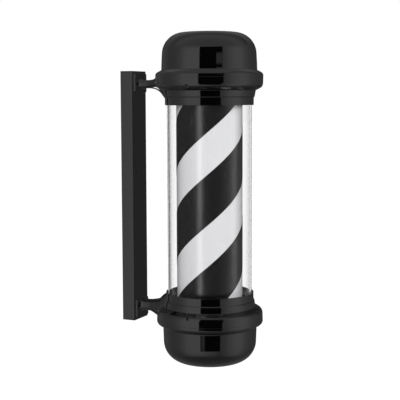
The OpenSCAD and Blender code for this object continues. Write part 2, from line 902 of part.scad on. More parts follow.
function bend(corner, a0, a1, r) =
    let (s = sign(a1 - a0), c = corner + r * [cos(a1) - cos(a0), sin(a1) - sin(a0)])
    [for (i = [0:lead_bends]) let (a = a0 + (a1 - a0) * i / lead_bends)
        [c[0] + s * r * sin(a), c[1] - s * r * cos(a), a]];

module lead(route) {
    loft([for (p = route) [for (k = [0:lead_sides - 1])
        let (f = 360 * (k + 0.5) / lead_sides, y = lead_r * cos(f), u = lead_r * sin(f))
        [p[0] - u * sin(p[2]), y, p[1] + u * cos(p[2])]]], lead_sides);
}

module lamp_lead() {
    color("#d8d8d8") lead(concat([[lead_x, block_top, 90]], bend([lead_x, arm_z], 90, 0, bend_r),
        [[driver_face, arm_z, 0]]));
}

module driver_lead() {
    color("#d8d8d8") lead(concat([[driver_face + driver_len, post_lead_z, 0]],
        bend([axis_x, post_lead_z], 0, -90, post_bend_r), [[axis_x, post_lead_end, -90]]));
}

module motor_lead() {
    color("#d8d8d8") flipped(-1) lead(concat([[lead_x, -block_foot, 90]],
        bend([lead_x, arm_z], 90, 0, bend_r), [[axis_x - can_r - snug_gap, arm_z, 0]]));
}

module lead_grommets() {
    color("#161616") for (s = [-1, 1]) flipped(s) translate([0, 0, arm_z])
        grommet(lead_hole_r, pad_x - lead_grommet_t, pad_x, grommet_t);
}

// Drive, under the lower plate

module gear_case() {
    color("#b9bcc0") at_end(-1) difference() {
        union() {
            rod(motor_r, plate_out, gear_low, fine);
            translate([-lug_r, -lug_at, plate_out]) cube([2 * lug_r, 2 * lug_at, lug_t]);
            both_sides(lug_at) rod(lug_r, plate_out, plate_out + lug_t);
        }
        rod(shaft_r + run_gap, plate_out - EPS, gear_low - EPS);
        both_sides(lug_at) rod(m4_r + hole_gap, plate_out - EPS, plate_out + lug_t + EPS);
    }
}

module motor_can() {
    color("#a9acb0") at_end(-1) rod(can_r, gear_low, gear_low + motor_h, fine);
}

module motor_screws() {
    color("#8a8a8a") at_end(-1) translate([0, 0, seat_h]) both_sides(lug_at)
        m4_screw(inner_t + lug_t + nut_h + 2 * screw_short);
}

module motor_nuts() {
    color("#8a8a8a") at_end(-1) translate([0, 0, plate_out + lug_t]) both_sides(lug_at) difference() {
        rod(nut_r, 0, nut_h, 6);
        rod(m4_r + thread_gap, -EPS, nut_h + EPS);
    }
}

module thrust_washer() {
    color("#f2f2ee") at_end(-1) ring(shaft_r + 4 * slip_gap, hub_r, seat_h - washer_t, seat_h);
}

module motor_shaft() {
    color("#d4d6d8") at_end(-1) difference() {
        rod(shaft_r, hub_h - flat_len + 1, gear_low - 1.3);
        translate([flat_x, -shaft_r, hub_h - flat_len]) cube([shaft_r, 2 * shaft_r, flat_len]);
    }
}

// Drum

module drum_tube() {
    color("#f2f2f2") translate([axis_x, 0, 0]) difference() {
        ring(drum_r - drum_t, drum_r, -drum_half, drum_half);
        disc_screw_places() bar_x(m3_r + hole_gap, disc_r - disc_wall, drum_r + EPS);
    }
}

// The six places where a screw holds the drum to an end disc
module disc_screw_places() {
    for (s = [-1, 1]) translate([0, 0, s * disc_screw_z]) round_axis(disc_screw_turns) children();
}

module stripe(from) {
    steps = stripe_steps();
    slice_h = pitch * step_angle / 360;
    slices = floor(2 * film_half / slice_h);
    low = -slices * slice_h / 2;
    row = steps + 1;
    turn = from + low / pitch * 360;
    pts = [for (i = [0:slices]) for (r = [film_in + film_t, film_in]) for (k = [0:steps])
        let (a = turn + (i + k) * step_angle)
        [r * cos(a), r * sin(a), low + i * slice_h]];
    walls = [for (i = [0:slices - 1]) for (k = [0:steps - 1])
        let (a = 2 * row * i + k, b = a + 1, c = b + 2 * row, d = a + 2 * row)
        each [[a, d, b], [d, c, b], [a + row, b + row, d + row], [d + row, b + row, c + row]]];
    sides = [for (i = [0:slices - 1])
        let (o = 2 * row * i, p = o + 2 * row)
        each [[o + row, p + row, p, o], [o + steps, p + steps, p + row + steps, o + row + steps]]];
    ends = [for (k = [0:steps - 1])
        let (t = 2 * row * slices + k)
        each [[k, k + 1, k + 1 + row, k + row], [t + row, t + row + 1, t + 1, t]]];
    polyhedron(points = pts, faces = concat(walls, sides, ends));
}

module stripe_film() {
    color("#1d1a1b") translate([axis_x, 0, 0])
        for (i = [0:stripe_count - 1]) stripe(stripe_from + 360 * i / stripe_count);
}

module disc(side, hole_r) {
    color("#d9d9d6") translate([axis_x, 0, 0]) flipped(side) difference() {
        union() {
            rod(disc_r, disc_in, disc_z, fine);
            ring(disc_r - disc_wall, disc_r, disc_in, disc_z + disc_skirt);
        }
        rod(hole_r, disc_in - EPS, disc_z + EPS, middling);
        translate([0, 0, disc_screw_z]) round_axis(disc_screw_turns)
            bar_x(m3_r + thread_gap, disc_r - disc_wall - EPS, disc_r + EPS);
        children();
    }
}

module drum_top_disc() {
    disc(1, bush_r + slip_gap);
}

module drum_bottom_disc() {
    disc(-1, hub_r + slip_gap)
        round_axis(hub_screw_turns, hub_screw_at) rod(m3_r + thread_gap, disc_in - EPS, disc_z + EPS);
}

module disc_screws() {
    color("#8a8a8a") translate([axis_x, 0, 0]) disc_screw_places()
        translate([drum_r, 0, 0]) rotate([0, -90, 0]) m3_screw(drum_t + 2 * screw_short);
}

module top_bush() {
    color("#e9e4d0") translate([axis_x, 0, 0]) difference() {
        union() {
            rod(bush_r, disc_in - bush_under, disc_z + bush_t, middling);
            rod(bush_r + bush_flange, disc_z + 2 * weld, disc_z + bush_t, middling);
        }
        rod(post_r + run_gap, disc_in - bush_under - EPS, disc_z + bush_t + EPS, middling);
    }
}

module drive_hub() {
    color("#c8a24a") translate([axis_x, 0, 0]) difference() {
        union() {
            rod(hub_r, -hub_low, -disc_in + weld, middling);
            rod(hub_flange_r, -disc_in, hub_top, middling);
        }
        rod(shaft_r + thread_gap, -hub_low - EPS, hub_top + EPS);
        round_axis(hub_screw_turns, hub_screw_at) rod(m3_r + hole_gap, -disc_in - EPS, hub_top + EPS);
        translate([0, 0, set_z]) bar_x(m4_r + thread_gap, 0, hub_r + EPS);
    }
}

module hub_set_screw() {
    color("#3a3a3a") translate([axis_x, 0, set_z]) difference() {
        bar_x(m4_r, flat_x + thread_gap, hub_r - slip_gap);
        bar_x(set_socket_r, hub_r - set_d, hub_r + EPS, 6);
    }
}

module hub_screws() {
    color("#8a8a8a") translate([axis_x, 0, hub_top]) round_axis(hub_screw_turns, hub_screw_at)
        rotate([180, 0, 0]) m3_screw(hub_flange_t + disc_t - slip_gap);
}

wall_plate();
rail();
rail_top_cap();
rail_bottom_cap();
rail_screws();
cable_grommet();
terminal_block();
terminal_screws();
block_screws();
top_arm();
bottom_arm();
foot_screws();
arm_screws();
top_collar();
bottom_collar();
top_dome();
bottom_bowl();
top_dome_seal();
bottom_bowl_seal();
cap_screws();
outer_tube();
top_tube_gasket();
bottom_tube_gasket();
top_plate();
bottom_plate();
inner_plate_screws();
lamp_post();
lamp_flange();
lamp_flange_screws();
led_strips();
led_chips();
lamp_driver();
driver_screws();
lamp_lead();
driver_lead();
lead_grommets();
gear_case();
motor_can();
motor_screws();
motor_nuts();
motor_lead();
thrust_washer();
drum_tube();
stripe_film();
drum_top_disc();
drum_bottom_disc();
disc_screws();
top_bush();
drive_hub();
hub_screws();
hub_set_screw();
motor_shaft();
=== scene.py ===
import math

import bmesh
import bpy
from mathutils import Matrix, Vector


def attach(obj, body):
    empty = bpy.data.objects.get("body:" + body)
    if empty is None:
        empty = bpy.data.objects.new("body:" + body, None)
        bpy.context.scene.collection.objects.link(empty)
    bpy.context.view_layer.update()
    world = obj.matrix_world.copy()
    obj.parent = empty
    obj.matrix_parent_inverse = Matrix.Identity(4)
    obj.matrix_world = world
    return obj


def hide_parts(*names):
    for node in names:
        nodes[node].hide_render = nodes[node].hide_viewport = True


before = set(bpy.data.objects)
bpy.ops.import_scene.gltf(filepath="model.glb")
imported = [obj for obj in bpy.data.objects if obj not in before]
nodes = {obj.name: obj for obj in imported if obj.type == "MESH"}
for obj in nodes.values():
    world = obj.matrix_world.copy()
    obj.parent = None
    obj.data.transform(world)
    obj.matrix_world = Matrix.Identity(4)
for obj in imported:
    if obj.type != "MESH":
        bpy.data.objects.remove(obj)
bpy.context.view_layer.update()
scene = bpy.context.scene
print("frame loaded:", len(nodes), "CAD pieces")


# helpers

def linear(hexColour):
    # sRGB hex to the linear colour that a shader reads
    parts = [int(hexColour[i:i + 2], 16) / 255 for i in (1, 3, 5)]
    return [p / 12.92 if p <= 0.04045 else ((p + 0.055) / 1.055) ** 2.4 for p in parts] + [1.0]


def addNode(tree, kind, inputs=None, **settings):
    # one node, its settings, and its inputs as values or as the sockets that feed them
    made = tree.nodes.new(kind)
    for name, value in settings.items():
        setattr(made, name, value)
    for key, value in (inputs or {}).items():
        if isinstance(value, bpy.types.NodeSocket):
            tree.links.new(value, made.inputs[key])
        else:
            made.inputs[key].default_value = value
    return made


def meshObject(name, verts, faces, material=None, sharpFrom=32):
    # a finished mesh at the origin, smooth but for edges sharper than sharpFrom degrees
    mesh = bpy.data.meshes.new(name)
    mesh.from_pydata([tuple(v) for v in verts], [], faces)
    mesh.validate()
    finishMesh(mesh, sharpFrom)
    made = bpy.data.objects.new(name, mesh)
    scene.collection.objects.link(made)
    if material:
        mesh.materials.append(material)
    return made


def finishMesh(mesh, sharpFrom=32):
    mesh.polygons.foreach_set("use_smooth", [True] * len(mesh.polygons))
    mesh.set_sharp_from_angle(angle=math.radians(sharpFrom))
    mesh.update()


def applyModifiers(piece, sharpFrom=32):
    # the evaluated mesh takes the place of the piece's own, and its modifiers go
    graph = bpy.context.evaluated_depsgraph_get()
    made = bpy.data.meshes.new_from_object(piece.evaluated_get(graph))
    old, piece.data = piece.data, made
    piece.modifiers.clear()
    made.name = old.name
    bpy.data.meshes.remove(old)
    finishMesh(made, sharpFrom)
    return piece


def fitPiece(piece, body, node, mirrored=True):
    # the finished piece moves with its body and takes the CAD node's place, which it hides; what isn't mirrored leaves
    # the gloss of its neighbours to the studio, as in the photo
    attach(piece, body)
    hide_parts(node)
    piece.visible_glossy = mirrored


def mm(*values):
    return Vector([v / 1000 for v in values])


def arcPoints(centre, radius, start, end, count):
    # points of [distance from the axis, height], angles in degrees
    out = []
    for i in range(count + 1):
        a = math.radians(start + (end - start) * i / count)
        out.append((centre[0] + radius * math.cos(a), centre[1] + radius * math.sin(a)))
    return out


def soften(points, radius, least=12, steps=4):
    # rounds each corner of a closed outline that turns more than least degrees; a third value is its own radius
    out, n = [], len(points)
    for i in range(n):
        before, here, after = (Vector(points[(i + k) % n][:2]) for k in (-1, 0, 1))
        a, b = before - here, after - here
        turn = math.pi - a.angle(b)
        if math.degrees(turn) < least:
            out.append(tuple(here))
            continue
        own = points[i][2] if len(points[i]) > 2 else radius
        reach = min(own * math.tan(turn / 2), 0.42 * a.length, 0.42 * b.length)
        p, q = here + a.normalized() * reach, here + b.normalized() * reach
        for k in range(steps + 1):
            t = k / steps
            out.append(tuple(p * (1 - t) ** 2 + here * 2 * t * (1 - t) + q * t ** 2))
    return guard(out)


def guard(points, longest=3.0, inset=0.4):
    # a point close to each end of every long straight, so that its smooth shading stays straight
    out = []
    for i, here in enumerate(points):
        here, after = Vector(here), Vector(points[(i + 1) % len(points)])
        out.append(tuple(here))
        way = after - here
        if way.length > longest:
            step = way.normalized() * inset
            out += [tuple(here + step), tuple(after - step)]
    return out


def lathe(name, outline, segments, material, base=0.0, flip=False, sharpFrom=32):
    # turns a closed outline (mm) round the pole's axis; flip stands it on its head under the pole
    rows, verts, faces = [], [], []
    sign = -1 if flip else 1
    for r, h in outline:
        z = sign * (base + h) / 1000
        if r < 1e-6:
            rows.append([len(verts)])
            verts.append((pole["axisX"] / 1000, 0, z))
            continue
        rows.append(list(range(len(verts), len(verts) + segments)))
        for k in range(segments):
            a = 2 * math.pi * k / segments
            verts.append(((pole["axisX"] + r * math.cos(a)) / 1000, r * math.sin(a) / 1000, z))
    for i, row in enumerate(rows):
        above = rows[(i + 1) % len(rows)]
        if len(row) == 1 and len(above) == 1:
            continue
        for k in range(segments):
            j = (k + 1) % segments
            if len(row) == 1:
                faces.append((row[0], above[j], above[k]))
            elif len(above) == 1:
                faces.append((row[k], row[j], above[0]))
            else:
                faces.append((row[k], row[j], above[j], above[k]))
    if flip:
        faces = [f[::-1] for f in faces]
    return meshObject(name, verts, faces, material, sharpFrom)


def loft(name, rings, material=None, sharpFrom=32):
    # joins rings of points (mm) that run anticlockwise seen from the last ring's side, and closes both ends
    verts, faces, n = [mm(*p) for ring in rings for p in ring], [], len(rings[0])
    for i in range(len(rings) - 1):
        for k in range(n):
            j = (k + 1) % n
            faces.append((i * n + k, i * n + j, (i + 1) * n + j, (i + 1) * n + k))
    faces += [tuple(range(n - 1, -1, -1)), tuple(range((len(rings) - 1) * n, len(rings) * n))]
    return meshObject(name, verts, faces, material, sharpFrom)


def rod(name, radius, start, end, endRadius=None, sides=40):
    # a straight rod or cone between two points (mm), for cutting bores
    start, end = mm(*start), mm(*end)
    made = bmesh.new()
    bmesh.ops.create_cone(made, cap_ends=True, segments=sides, radius1=radius / 1000,
                          radius2=(radius if endRadius is None else endRadius) / 1000, depth=(end - start).length)
    turn = (end - start).to_track_quat("Z", "Y").to_matrix().to_4x4()
    made.transform(Matrix.Translation((start + end) / 2) @ turn)
    mesh = bpy.data.meshes.new(name)
    made.to_mesh(mesh)
    made.free()
    piece = bpy.data.objects.new(name, mesh)
    scene.collection.objects.link(piece)
    return piece


sliver = 2e-5


def combine(piece, others, operation="DIFFERENCE", sharpFrom=32):
    # cuts the other solids out of the piece, or joins them to it, and removes them
    for other in others:
        step = piece.modifiers.new("combine", "BOOLEAN")
        step.operation, step.solver, step.object = operation, "EXACT", other
    applyModifiers(piece, sharpFrom)
    for other in others:
        bpy.data.objects.remove(other)
    # slivers that the cut leaves are closed up
    work = bmesh.new()
    work.from_mesh(piece.data)
    bmesh.ops.remove_doubles(work, verts=work.verts, dist=sliver)
    bmesh.ops.triangulate(work, faces=[face for face in work.faces if len(face.verts) > 4])
    bmesh.ops.dissolve_degenerate(work, edges=work.edges, dist=sliver)
    work.to_mesh(piece.data)
    work.free()
    finishMesh(piece.data, sharpFrom)
    return piece


# camera: the photograph's own, found from the outline of the caps and the rail

camera = {"turn": 25.0, "tilt": 5.596, "away": 1964.5, "height": 190.33, "side": 18.23,
          "roll": -0.207, "focal": 1038.0, "frame": 400, "sensor": 36.0}
pole = {"axisX": 176.0, "rim": 177.5}


def buildCamera():
    a, t, r = (math.radians(camera[k]) for k in ("turn", "tilt", "roll"))
    right = Vector((math.cos(a), math.sin(a), 0))
    level = Vector((-math.sin(a), math.cos(a), 0))
    forward = level * math.cos(t) - Vector((0, 0, math.sin(t)))
    up = right.cross(forward)
    right, up = right * math.cos(r) + up * math.sin(r), up * math.cos(r) - right * math.sin(r)
    spot = mm(pole["axisX"], 0, camera["height"]) - level * camera["away"] / 1000
    spot -= Vector((math.cos(a), math.sin(a), 0)) * camera["side"] / 1000
    data = bpy.data.cameras.new("photoCamera")
    data.sensor_width = camera["sensor"]
    data.lens = camera["focal"] / camera["frame"] * camera["sensor"]
    data.clip_start, data.clip_end = 0.05, 200
    made = bpy.data.objects.new("photoCamera", data)
    made.matrix_world = Matrix.Translation(spot) @ Matrix((right, up, -forward)).transposed().to_4x4()
    scene.collection.objects.link(made)
    scene.camera = made


buildCamera()
scene.view_settings.view_transform = "Standard"
print("camera set")


# studio: white background, pale floor, soft lamps, and the soft boxes and flags that the gloss mirrors

studio = {"ambient": "#818183", "floor": -1.3, "floorHalf": 60.0, "floorColour": "#e9e9e8",
          "surroundRadius": 1.1}
lamps = [
    {"name": "keyLamp", "turn": 66, "lift": 18, "away": 2.6, "size": 1.0, "watts": 35},
    {"name": "leftLamp", "turn": -28, "lift": 18, "away": 2.6, "size": 1.0, "watts": 43},
    {"name": "topLamp", "turn": 5, "lift": 80, "away": 2.2, "size": 1.6, "watts": 5},
]
# what the gloss sees round the object: degrees to the right of the camera, and brightness
surroundLight = [(-180, 0.05), (-155, 0.08), (-126, 0.28), (-108, 0.36), (-93, 0.48), (-79, 0.65),
                 (-67, 0.93), (-56, 1.28), (-45, 1.36), (-24, 1.38), (24, 0.60), (34, 0.72), (45, 1.0),
                 (55, 1.18), (67, 1.27), (79, 1.12), (92, 0.70), (107, 0.41), (125, 0.20), (153, 0.06),
                 (180, 0.05)]
# what the drum's satin sees through the clear tube: two tall strips that leave soft streaks
drumLight = [(-180, 0.05), (-110, 0.06), (-64, 0.12), (-46, 0.2), (-40, 0.9), (-34, 1.9), (-29, 1.3), (-21, 0.3),
             (-8, 0.16), (8, 0.12), (40, 0.16), (64, 0.25), (78, 0.6), (90, 0.9), (98, 0.7), (108, 0.25),
             (118, 0.1), (135, 0.05), (180, 0.05)]
brightest = 2.0
# the black card in front: its edges in degrees, with the right one leaning, and how soft they are
card = {"left": -23.0, "right": 27.1, "lean": 0.125, "top": 41.6, "foot": -31.7, "soft": 1.1}
# paler patches that the card shows: turn and lift in degrees, and brightness
cardWindows = [{"turn": (15.5, 30.0), "lift": (18.2, 22.9), "soft": 0.6, "light": 0.5},
               {"turn": (-21.0, -13.0), "lift": (-31.0, -22.0), "soft": 2.5, "light": 0.45}]
# the ceiling: brightness over and behind the object, where it takes over, and a dark bar on it
ceiling = {"over": 0.73, "behind": 0.31, "from": 28.0, "full": 50.0, "lowLight": 0.6,
           "barBack": (-0.56, -0.42), "barRight": (0.3, 1.0)}
# the floor as the gloss sees it, and how floor and ceiling reach towards the level behind the object
under = {"light": 0.28, "from": -46.0, "full": -62.0, "rearFrom": 14.0, "rearFull": 66.0}


def poleDirection(turn, lift):
    # the direction from the pole that is turn degrees to the right of the camera and lift above it
    a, e = math.radians(camera["turn"] + turn), math.radians(lift)
    return Vector((math.sin(a) * math.cos(e), -math.cos(a) * math.cos(e), math.sin(e)))


def seenWhite(tree):
    # 1 for the rays that should find white: from the camera, mirrored or through the tube
    path = addNode(tree, "ShaderNodeLightPath")
    seen = addNode(tree, "ShaderNodeMath", {0: path.outputs["Is Camera Ray"], 1: path.outputs["Is Glossy Ray"]},
                   operation="MAXIMUM")
    return addNode(tree, "ShaderNodeMath", {0: seen.outputs[0], 1: path.outputs["Is Transmission Ray"]},
                   operation="MAXIMUM").outputs[0]


def buildWorld():
    world = bpy.data.worlds.new("studioAir")
    scene.world = world
    world.use_nodes = True
    tree = world.node_tree
    tree.nodes.clear()
    colour = addNode(tree, "ShaderNodeMix", {0: seenWhite(tree), 6: linear(studio["ambient"]), 7: (1, 1, 1, 1)},
                     data_type="RGBA")
    back = addNode(tree, "ShaderNodeBackground", {"Color": colour.outputs[2], "Strength": 1.0})
    addNode(tree, "ShaderNodeOutputWorld", {"Surface": back.outputs[0]})


def buildFloor():
    half, z = studio["floorHalf"], studio["floor"]
    floor = meshObject("studioFloor", [(-half, -half, z), (half, -half, z), (half, half, z), (-half, half, z)],
                       [(0, 1, 2, 3)])
    material = bpy.data.materials.new("paleStudioFloor")
    material.use_nodes = True
    tree = material.node_tree
    tree.nodes.clear()
    matt = addNode(tree, "ShaderNodeBsdfDiffuse", {"Color": linear(studio["floorColour"])})
    faint = addNode(tree, "ShaderNodeBsdfDiffuse", {"Color": linear("#a0a0a0")})
    glow = addNode(tree, "ShaderNodeEmission", {"Color": (1, 1, 1, 1), "Strength": 0.97})
    white = addNode(tree, "ShaderNodeAddShader", {0: faint.outputs[0], 1: glow.outputs[0]})
    both = addNode(tree, "ShaderNodeMixShader", {0: seenWhite(tree), 1: matt.outputs[0], 2: white.outputs[0]})
    addNode(tree, "ShaderNodeOutputMaterial", {"Surface": both.outputs[0]})
    floor.data.materials.append(material)


def addLamp(spec, width, height):
    data = bpy.data.lights.new(spec["name"], "AREA")
    data.shape, data.size, data.size_y, data.energy = "RECTANGLE", width, height, spec["watts"]
    made = bpy.data.objects.new(spec["name"], data)
    way = poleDirection(spec["turn"], spec["lift"])
    made.location = mm(pole["axisX"], 0, 0) + way * spec["away"]
    made.rotation_mode = "QUATERNION"
    made.rotation_quaternion = way.to_track_quat("Z", "Y")
    made.visible_camera = made.visible_transmission = False
    scene.collection.objects.link(made)
    return made


def buildLamps():
    for spec in lamps:
        addLamp(spec, spec["size"], spec["size"]).visible_glossy = False


def inside(tree, value, low, high, soft):
    # 1 where the value lies between low and high, each a number or a socket, with soft edges
    up = addNode(tree, "ShaderNodeMath", {0: value, 1: low}, operation="SUBTRACT")
    down = addNode(tree, "ShaderNodeMath", {0: high, 1: value}, operation="SUBTRACT")
    least = addNode(tree, "ShaderNodeMath", {0: up.outputs[0], 1: down.outputs[0]}, operation="MINIMUM")
    return addNode(tree, "ShaderNodeMapRange", {"Value": least.outputs[0], "From Min": -soft, "From Max": soft},
                   interpolation_type="SMOOTHSTEP").outputs[0]


def both(tree, first, second, operation="MULTIPLY"):
    return addNode(tree, "ShaderNodeMath", {0: first, 1: second}, operation=operation).outputs[0]


def byTurn(tree, turn, table):
    # brightness read from a table by the turn in degrees
    share = addNode(tree, "ShaderNodeMapRange", {"Value": turn, "From Min": -180, "From Max": 180})
    made = addNode(tree, "ShaderNodeValToRGB", {"Fac": share.outputs[0]})
    ramp = made.color_ramp
    for i, (angle, light) in enumerate(table):
        at = (angle + 180) / 360
        stop = ramp.elements[i] if i < 2 else ramp.elements.new(at)
        stop.position = at
        stop.color = (light / brightest,) * 3 + (1,)
    return both(tree, made.outputs["Color"], brightest)


def buildSurround():
    # soft boxes left and right, a black card in front and dark flags behind, for reflections alone
    mesh = bpy.data.meshes.new("studioSurround")
    shell = bmesh.new()
    bmesh.ops.create_uvsphere(shell, u_segments=48, v_segments=24, radius=studio["surroundRadius"])
    bmesh.ops.reverse_faces(shell, faces=shell.faces)
    shell.to_mesh(mesh)
    shell.free()
    made = bpy.data.objects.new("studioSurround", mesh)
    made.location = mm(pole["axisX"], 0, 0)
    scene.collection.objects.link(made)
    made.visible_camera = made.visible_diffuse = made.visible_shadow = False
    material = bpy.data.materials.new("studioSoftboxes")
    material.use_nodes = True
    tree = material.node_tree
    tree.nodes.clear()
    spot = addNode(tree, "ShaderNodeTexCoord")
    turned = addNode(tree, "ShaderNodeMapping", {"Vector": spot.outputs["Object"],
                     "Rotation": (0, 0, math.radians(90 - camera["turn"]))}, vector_type="POINT")
    unit = addNode(tree, "ShaderNodeVectorMath", {0: turned.outputs[0]}, operation="NORMALIZE")
    axes = addNode(tree, "ShaderNodeSeparateXYZ", {0: unit.outputs[0]})
    near, right, up = (axes.outputs[k] for k in "XYZ")
    degree = 180 / math.pi
    turn = both(tree, both(tree, right, near, "ARCTAN2"), degree)
    lift = both(tree, addNode(tree, "ShaderNodeMath", {0: up}, operation="ARCSINE").outputs[0], degree)
    # light round the object by turn
    light = byTurn(tree, turn, surroundLight)
    low = addNode(tree, "ShaderNodeMapRange", {"Value": lift, "From Min": -60, "From Max": -20,
                  "To Min": ceiling["lowLight"], "To Max": 1.0})
    light = both(tree, light, low.outputs[0])
    # the ceiling takes over above, darker behind, with its dark bar
    over = addNode(tree, "ShaderNodeMapRange", {"Value": near, "From Min": -0.28, "From Max": 0.0,
                   "To Min": ceiling["behind"], "To Max": ceiling["over"]})
    barBack = inside(tree, both(tree, near, up, "DIVIDE"), *ceiling["barBack"], 0.03)
    barRight = inside(tree, both(tree, right, up, "DIVIDE"), *ceiling["barRight"], 0.06)
    bare = both(tree, 1.0, both(tree, barBack, barRight), "SUBTRACT")
    high = addNode(tree, "ShaderNodeMapRange", {"Value": lift, "From Min": ceiling["from"],
                   "From Max": ceiling["full"]}, interpolation_type="SMOOTHSTEP")
    light = addNode(tree, "ShaderNodeMix", {0: high.outputs[0], 2: light, 3: both(tree, over.outputs[0], bare)},
                    data_type="FLOAT").outputs[0]
    below = addNode(tree, "ShaderNodeMapRange", {"Value": lift, "From Min": under["full"], "From Max": under["from"],
                    "To Min": 1.0, "To Max": 0.0}, interpolation_type="SMOOTHSTEP")
    light = addNode(tree, "ShaderNodeMix", {0: below.outputs[0], 2: light, 3: under["light"]},
                    data_type="FLOAT").outputs[0]
    steep = addNode(tree, "ShaderNodeMath", {0: lift}, operation="ABSOLUTE").outputs[0]
    steep = addNode(tree, "ShaderNodeMapRange", {"Value": steep, "From Min": under["rearFrom"],
                    "From Max": under["rearFull"]})
    rear = addNode(tree, "ShaderNodeMapRange", {"Value": near, "From Min": -0.25, "From Max": 0.05,
                   "To Min": under["light"], "To Max": 0.0})
    light = both(tree, light, both(tree, steep.outputs[0], rear.outputs[0]), "MAXIMUM")
    # the card covers what is behind it, but for its paler patches
    lean = addNode(tree, "ShaderNodeMath", {0: lift, 1: card["lean"], 2: card["right"]}, operation="MULTIPLY_ADD")
    across = inside(tree, turn, card["left"], lean.outputs[0], card["soft"])
    tall = inside(tree, lift, card["foot"], card["top"], card["soft"])
    light = both(tree, light, both(tree, 1.0, both(tree, across, tall), "SUBTRACT"))
    for window in cardWindows:
        patch = both(tree, inside(tree, turn, *window["turn"], window["soft"]),
                     inside(tree, lift, *window["lift"], window["soft"]))
        light = both(tree, light, both(tree, patch, window["light"]), "MAXIMUM")
    # light that bounced inside the tube's wall comes from white sides, and what stands in the tube sees the
    # drum's own light
    path = addNode(tree, "ShaderNodeLightPath")
    walled = both(tree, path.outputs["Transmission Depth"], 0.5, "GREATER_THAN")
    aside = addNode(tree, "ShaderNodeMapRange", {"Value": addNode(tree, "ShaderNodeMath", {0: turn},
                    operation="ABSOLUTE").outputs[0], "From Min": 110.0, "From Max": 140.0, "To Min": 0.2})
    light = addNode(tree, "ShaderNodeMix", {0: walled, 2: light, 3: aside.outputs[0]}, data_type="FLOAT").outputs[0]
    through = both(tree, path.outputs["Transmission Depth"], 3.5, "GREATER_THAN")
    light = addNode(tree, "ShaderNodeMix", {0: through, 2: light, 3: byTurn(tree, turn, drumLight)},
                    data_type="FLOAT").outputs[0]
    glow = addNode(tree, "ShaderNodeEmission", {"Strength": light})
    clear = addNode(tree, "ShaderNodeBsdfTransparent")
    mirrored = both(tree, path.outputs["Glossy Depth"], 0.5, "GREATER_THAN")
    mixed = addNode(tree, "ShaderNodeMixShader", {0: mirrored, 1: clear.outputs[0], 2: glow.outputs[0]})
    addNode(tree, "ShaderNodeOutputMaterial", {"Surface": mixed.outputs[0]})
    material.cycles.emission_sampling = "NONE"
    mesh.materials.append(material)


buildWorld()
buildFloor()
buildLamps()
buildSurround()
print("studio built")


# materials

def principled(name, slotColour, roughness, metallic=0.0, ior=1.5, **more):
    # a new material with its shader, object coordinates and output ready
    material = bpy.data.materials.new(name)
    material.use_nodes = True
    tree = material.node_tree
    tree.nodes.clear()
    shader = addNode(tree, "ShaderNodeBsdfPrincipled", {"Base Color": linear(slotColour), "Roughness": roughness,
                     "Metallic": metallic, "IOR": ior})
    for key, value in more.items():
        shader.inputs[key.replace("_", " ")].default_value = value
    addNode(tree, "ShaderNodeOutputMaterial", {"Surface": shader.outputs[0]})
    place = addNode(tree, "ShaderNodeTexCoord")
    material.diffuse_color = linear(slotColour)
    return material, tree, shader, place.outputs["Object"]


def grain(tree, place, size, detail=2.0, rough=0.5, stretch=(1, 1, 1)):
    # noise whose lumps are size mm across
    spot = addNode(tree, "ShaderNodeMapping", {"Vector": place, "Scale": stretch}) if stretch != (1, 1, 1) else None
    source = spot.outputs[0] if spot else place
    return addNode(tree, "ShaderNodeTexNoise", {"Vector": source, "Scale": 1000 / size, "Detail": detail,
                   "Roughness": rough}).outputs[0]


def blendColour(tree, factor, first, second):
    return addNode(tree, "ShaderNodeMix", {0: factor, 6: linear(first), 7: linear(second)},
                   data_type="RGBA").outputs[2]


def spread(tree, value, low, high, outLow, outHigh):
    return addNode(tree, "ShaderNodeMapRange", {"Value": value, "From Min": low, "From Max": high,
                   "To Min": outLow, "To Max": outHigh}).outputs[0]


def bump(tree, shader, height, depth, strength=1.0):
    made = addNode(tree, "ShaderNodeBump", {"Height": height, "Distance": depth / 1000, "Strength": strength})
    tree.links.new(made.outputs[0], shader.inputs["Normal"])
    return made


def makePaint(name, spec):
    # sprayed paint: faint orange peel, specks of dust under the gloss, and a little haze
    material, tree, shader, place = principled(name, spec["colour"], spec["roughness"], ior=spec["ior"])
    peel = grain(tree, place, spec["peel"], 1.0, 0.4)
    fine = grain(tree, place, spec["fine"], 2.0, 0.6)
    height = addNode(tree, "ShaderNodeMath", {0: fine, 1: spec["fineShare"], 2: peel}, operation="MULTIPLY_ADD")
    bump(tree, shader, height.outputs[0], spec["depth"])
    haze = grain(tree, place, spec["haze"], 3.0, 0.6)
    tree.links.new(spread(tree, haze, 0.35, 0.7, spec["roughness"], spec["hazed"]), shader.inputs["Roughness"])
    dust = addNode(tree, "ShaderNodeTexVoronoi", {"Vector": place, "Scale": 1000 / spec["dustGap"]}).outputs["Distance"]
    speck = spread(tree, dust, 0.02, 0.05, 1.0, 0.0)
    tint = blendColour(tree, speck, spec["colour"], spec["dust"])
    tree.links.new(tint, shader.inputs["Base Color"])
    return material


def makeMetal(name, spec):
    # bare or plated metal: brushed or spangled grain, with duller patches where it has been handled
    material, tree, shader, place = principled(name, spec["colour"], spec["roughness"], metallic=1.0)
    lines = grain(tree, place, spec["grain"], 3.0, 0.6, spec["stretch"])
    patches = grain(tree, place, spec["patch"], 2.0, 0.5)
    tree.links.new(spread(tree, patches, 0.3, 0.7, spec["roughness"], spec["dull"]), shader.inputs["Roughness"])
    tree.links.new(blendColour(tree, spread(tree, lines, 0.3, 0.7, 0.0, 1.0), spec["colour"], spec["second"]),
                   shader.inputs["Base Color"])
    bump(tree, shader, lines, spec["depth"])
    return material


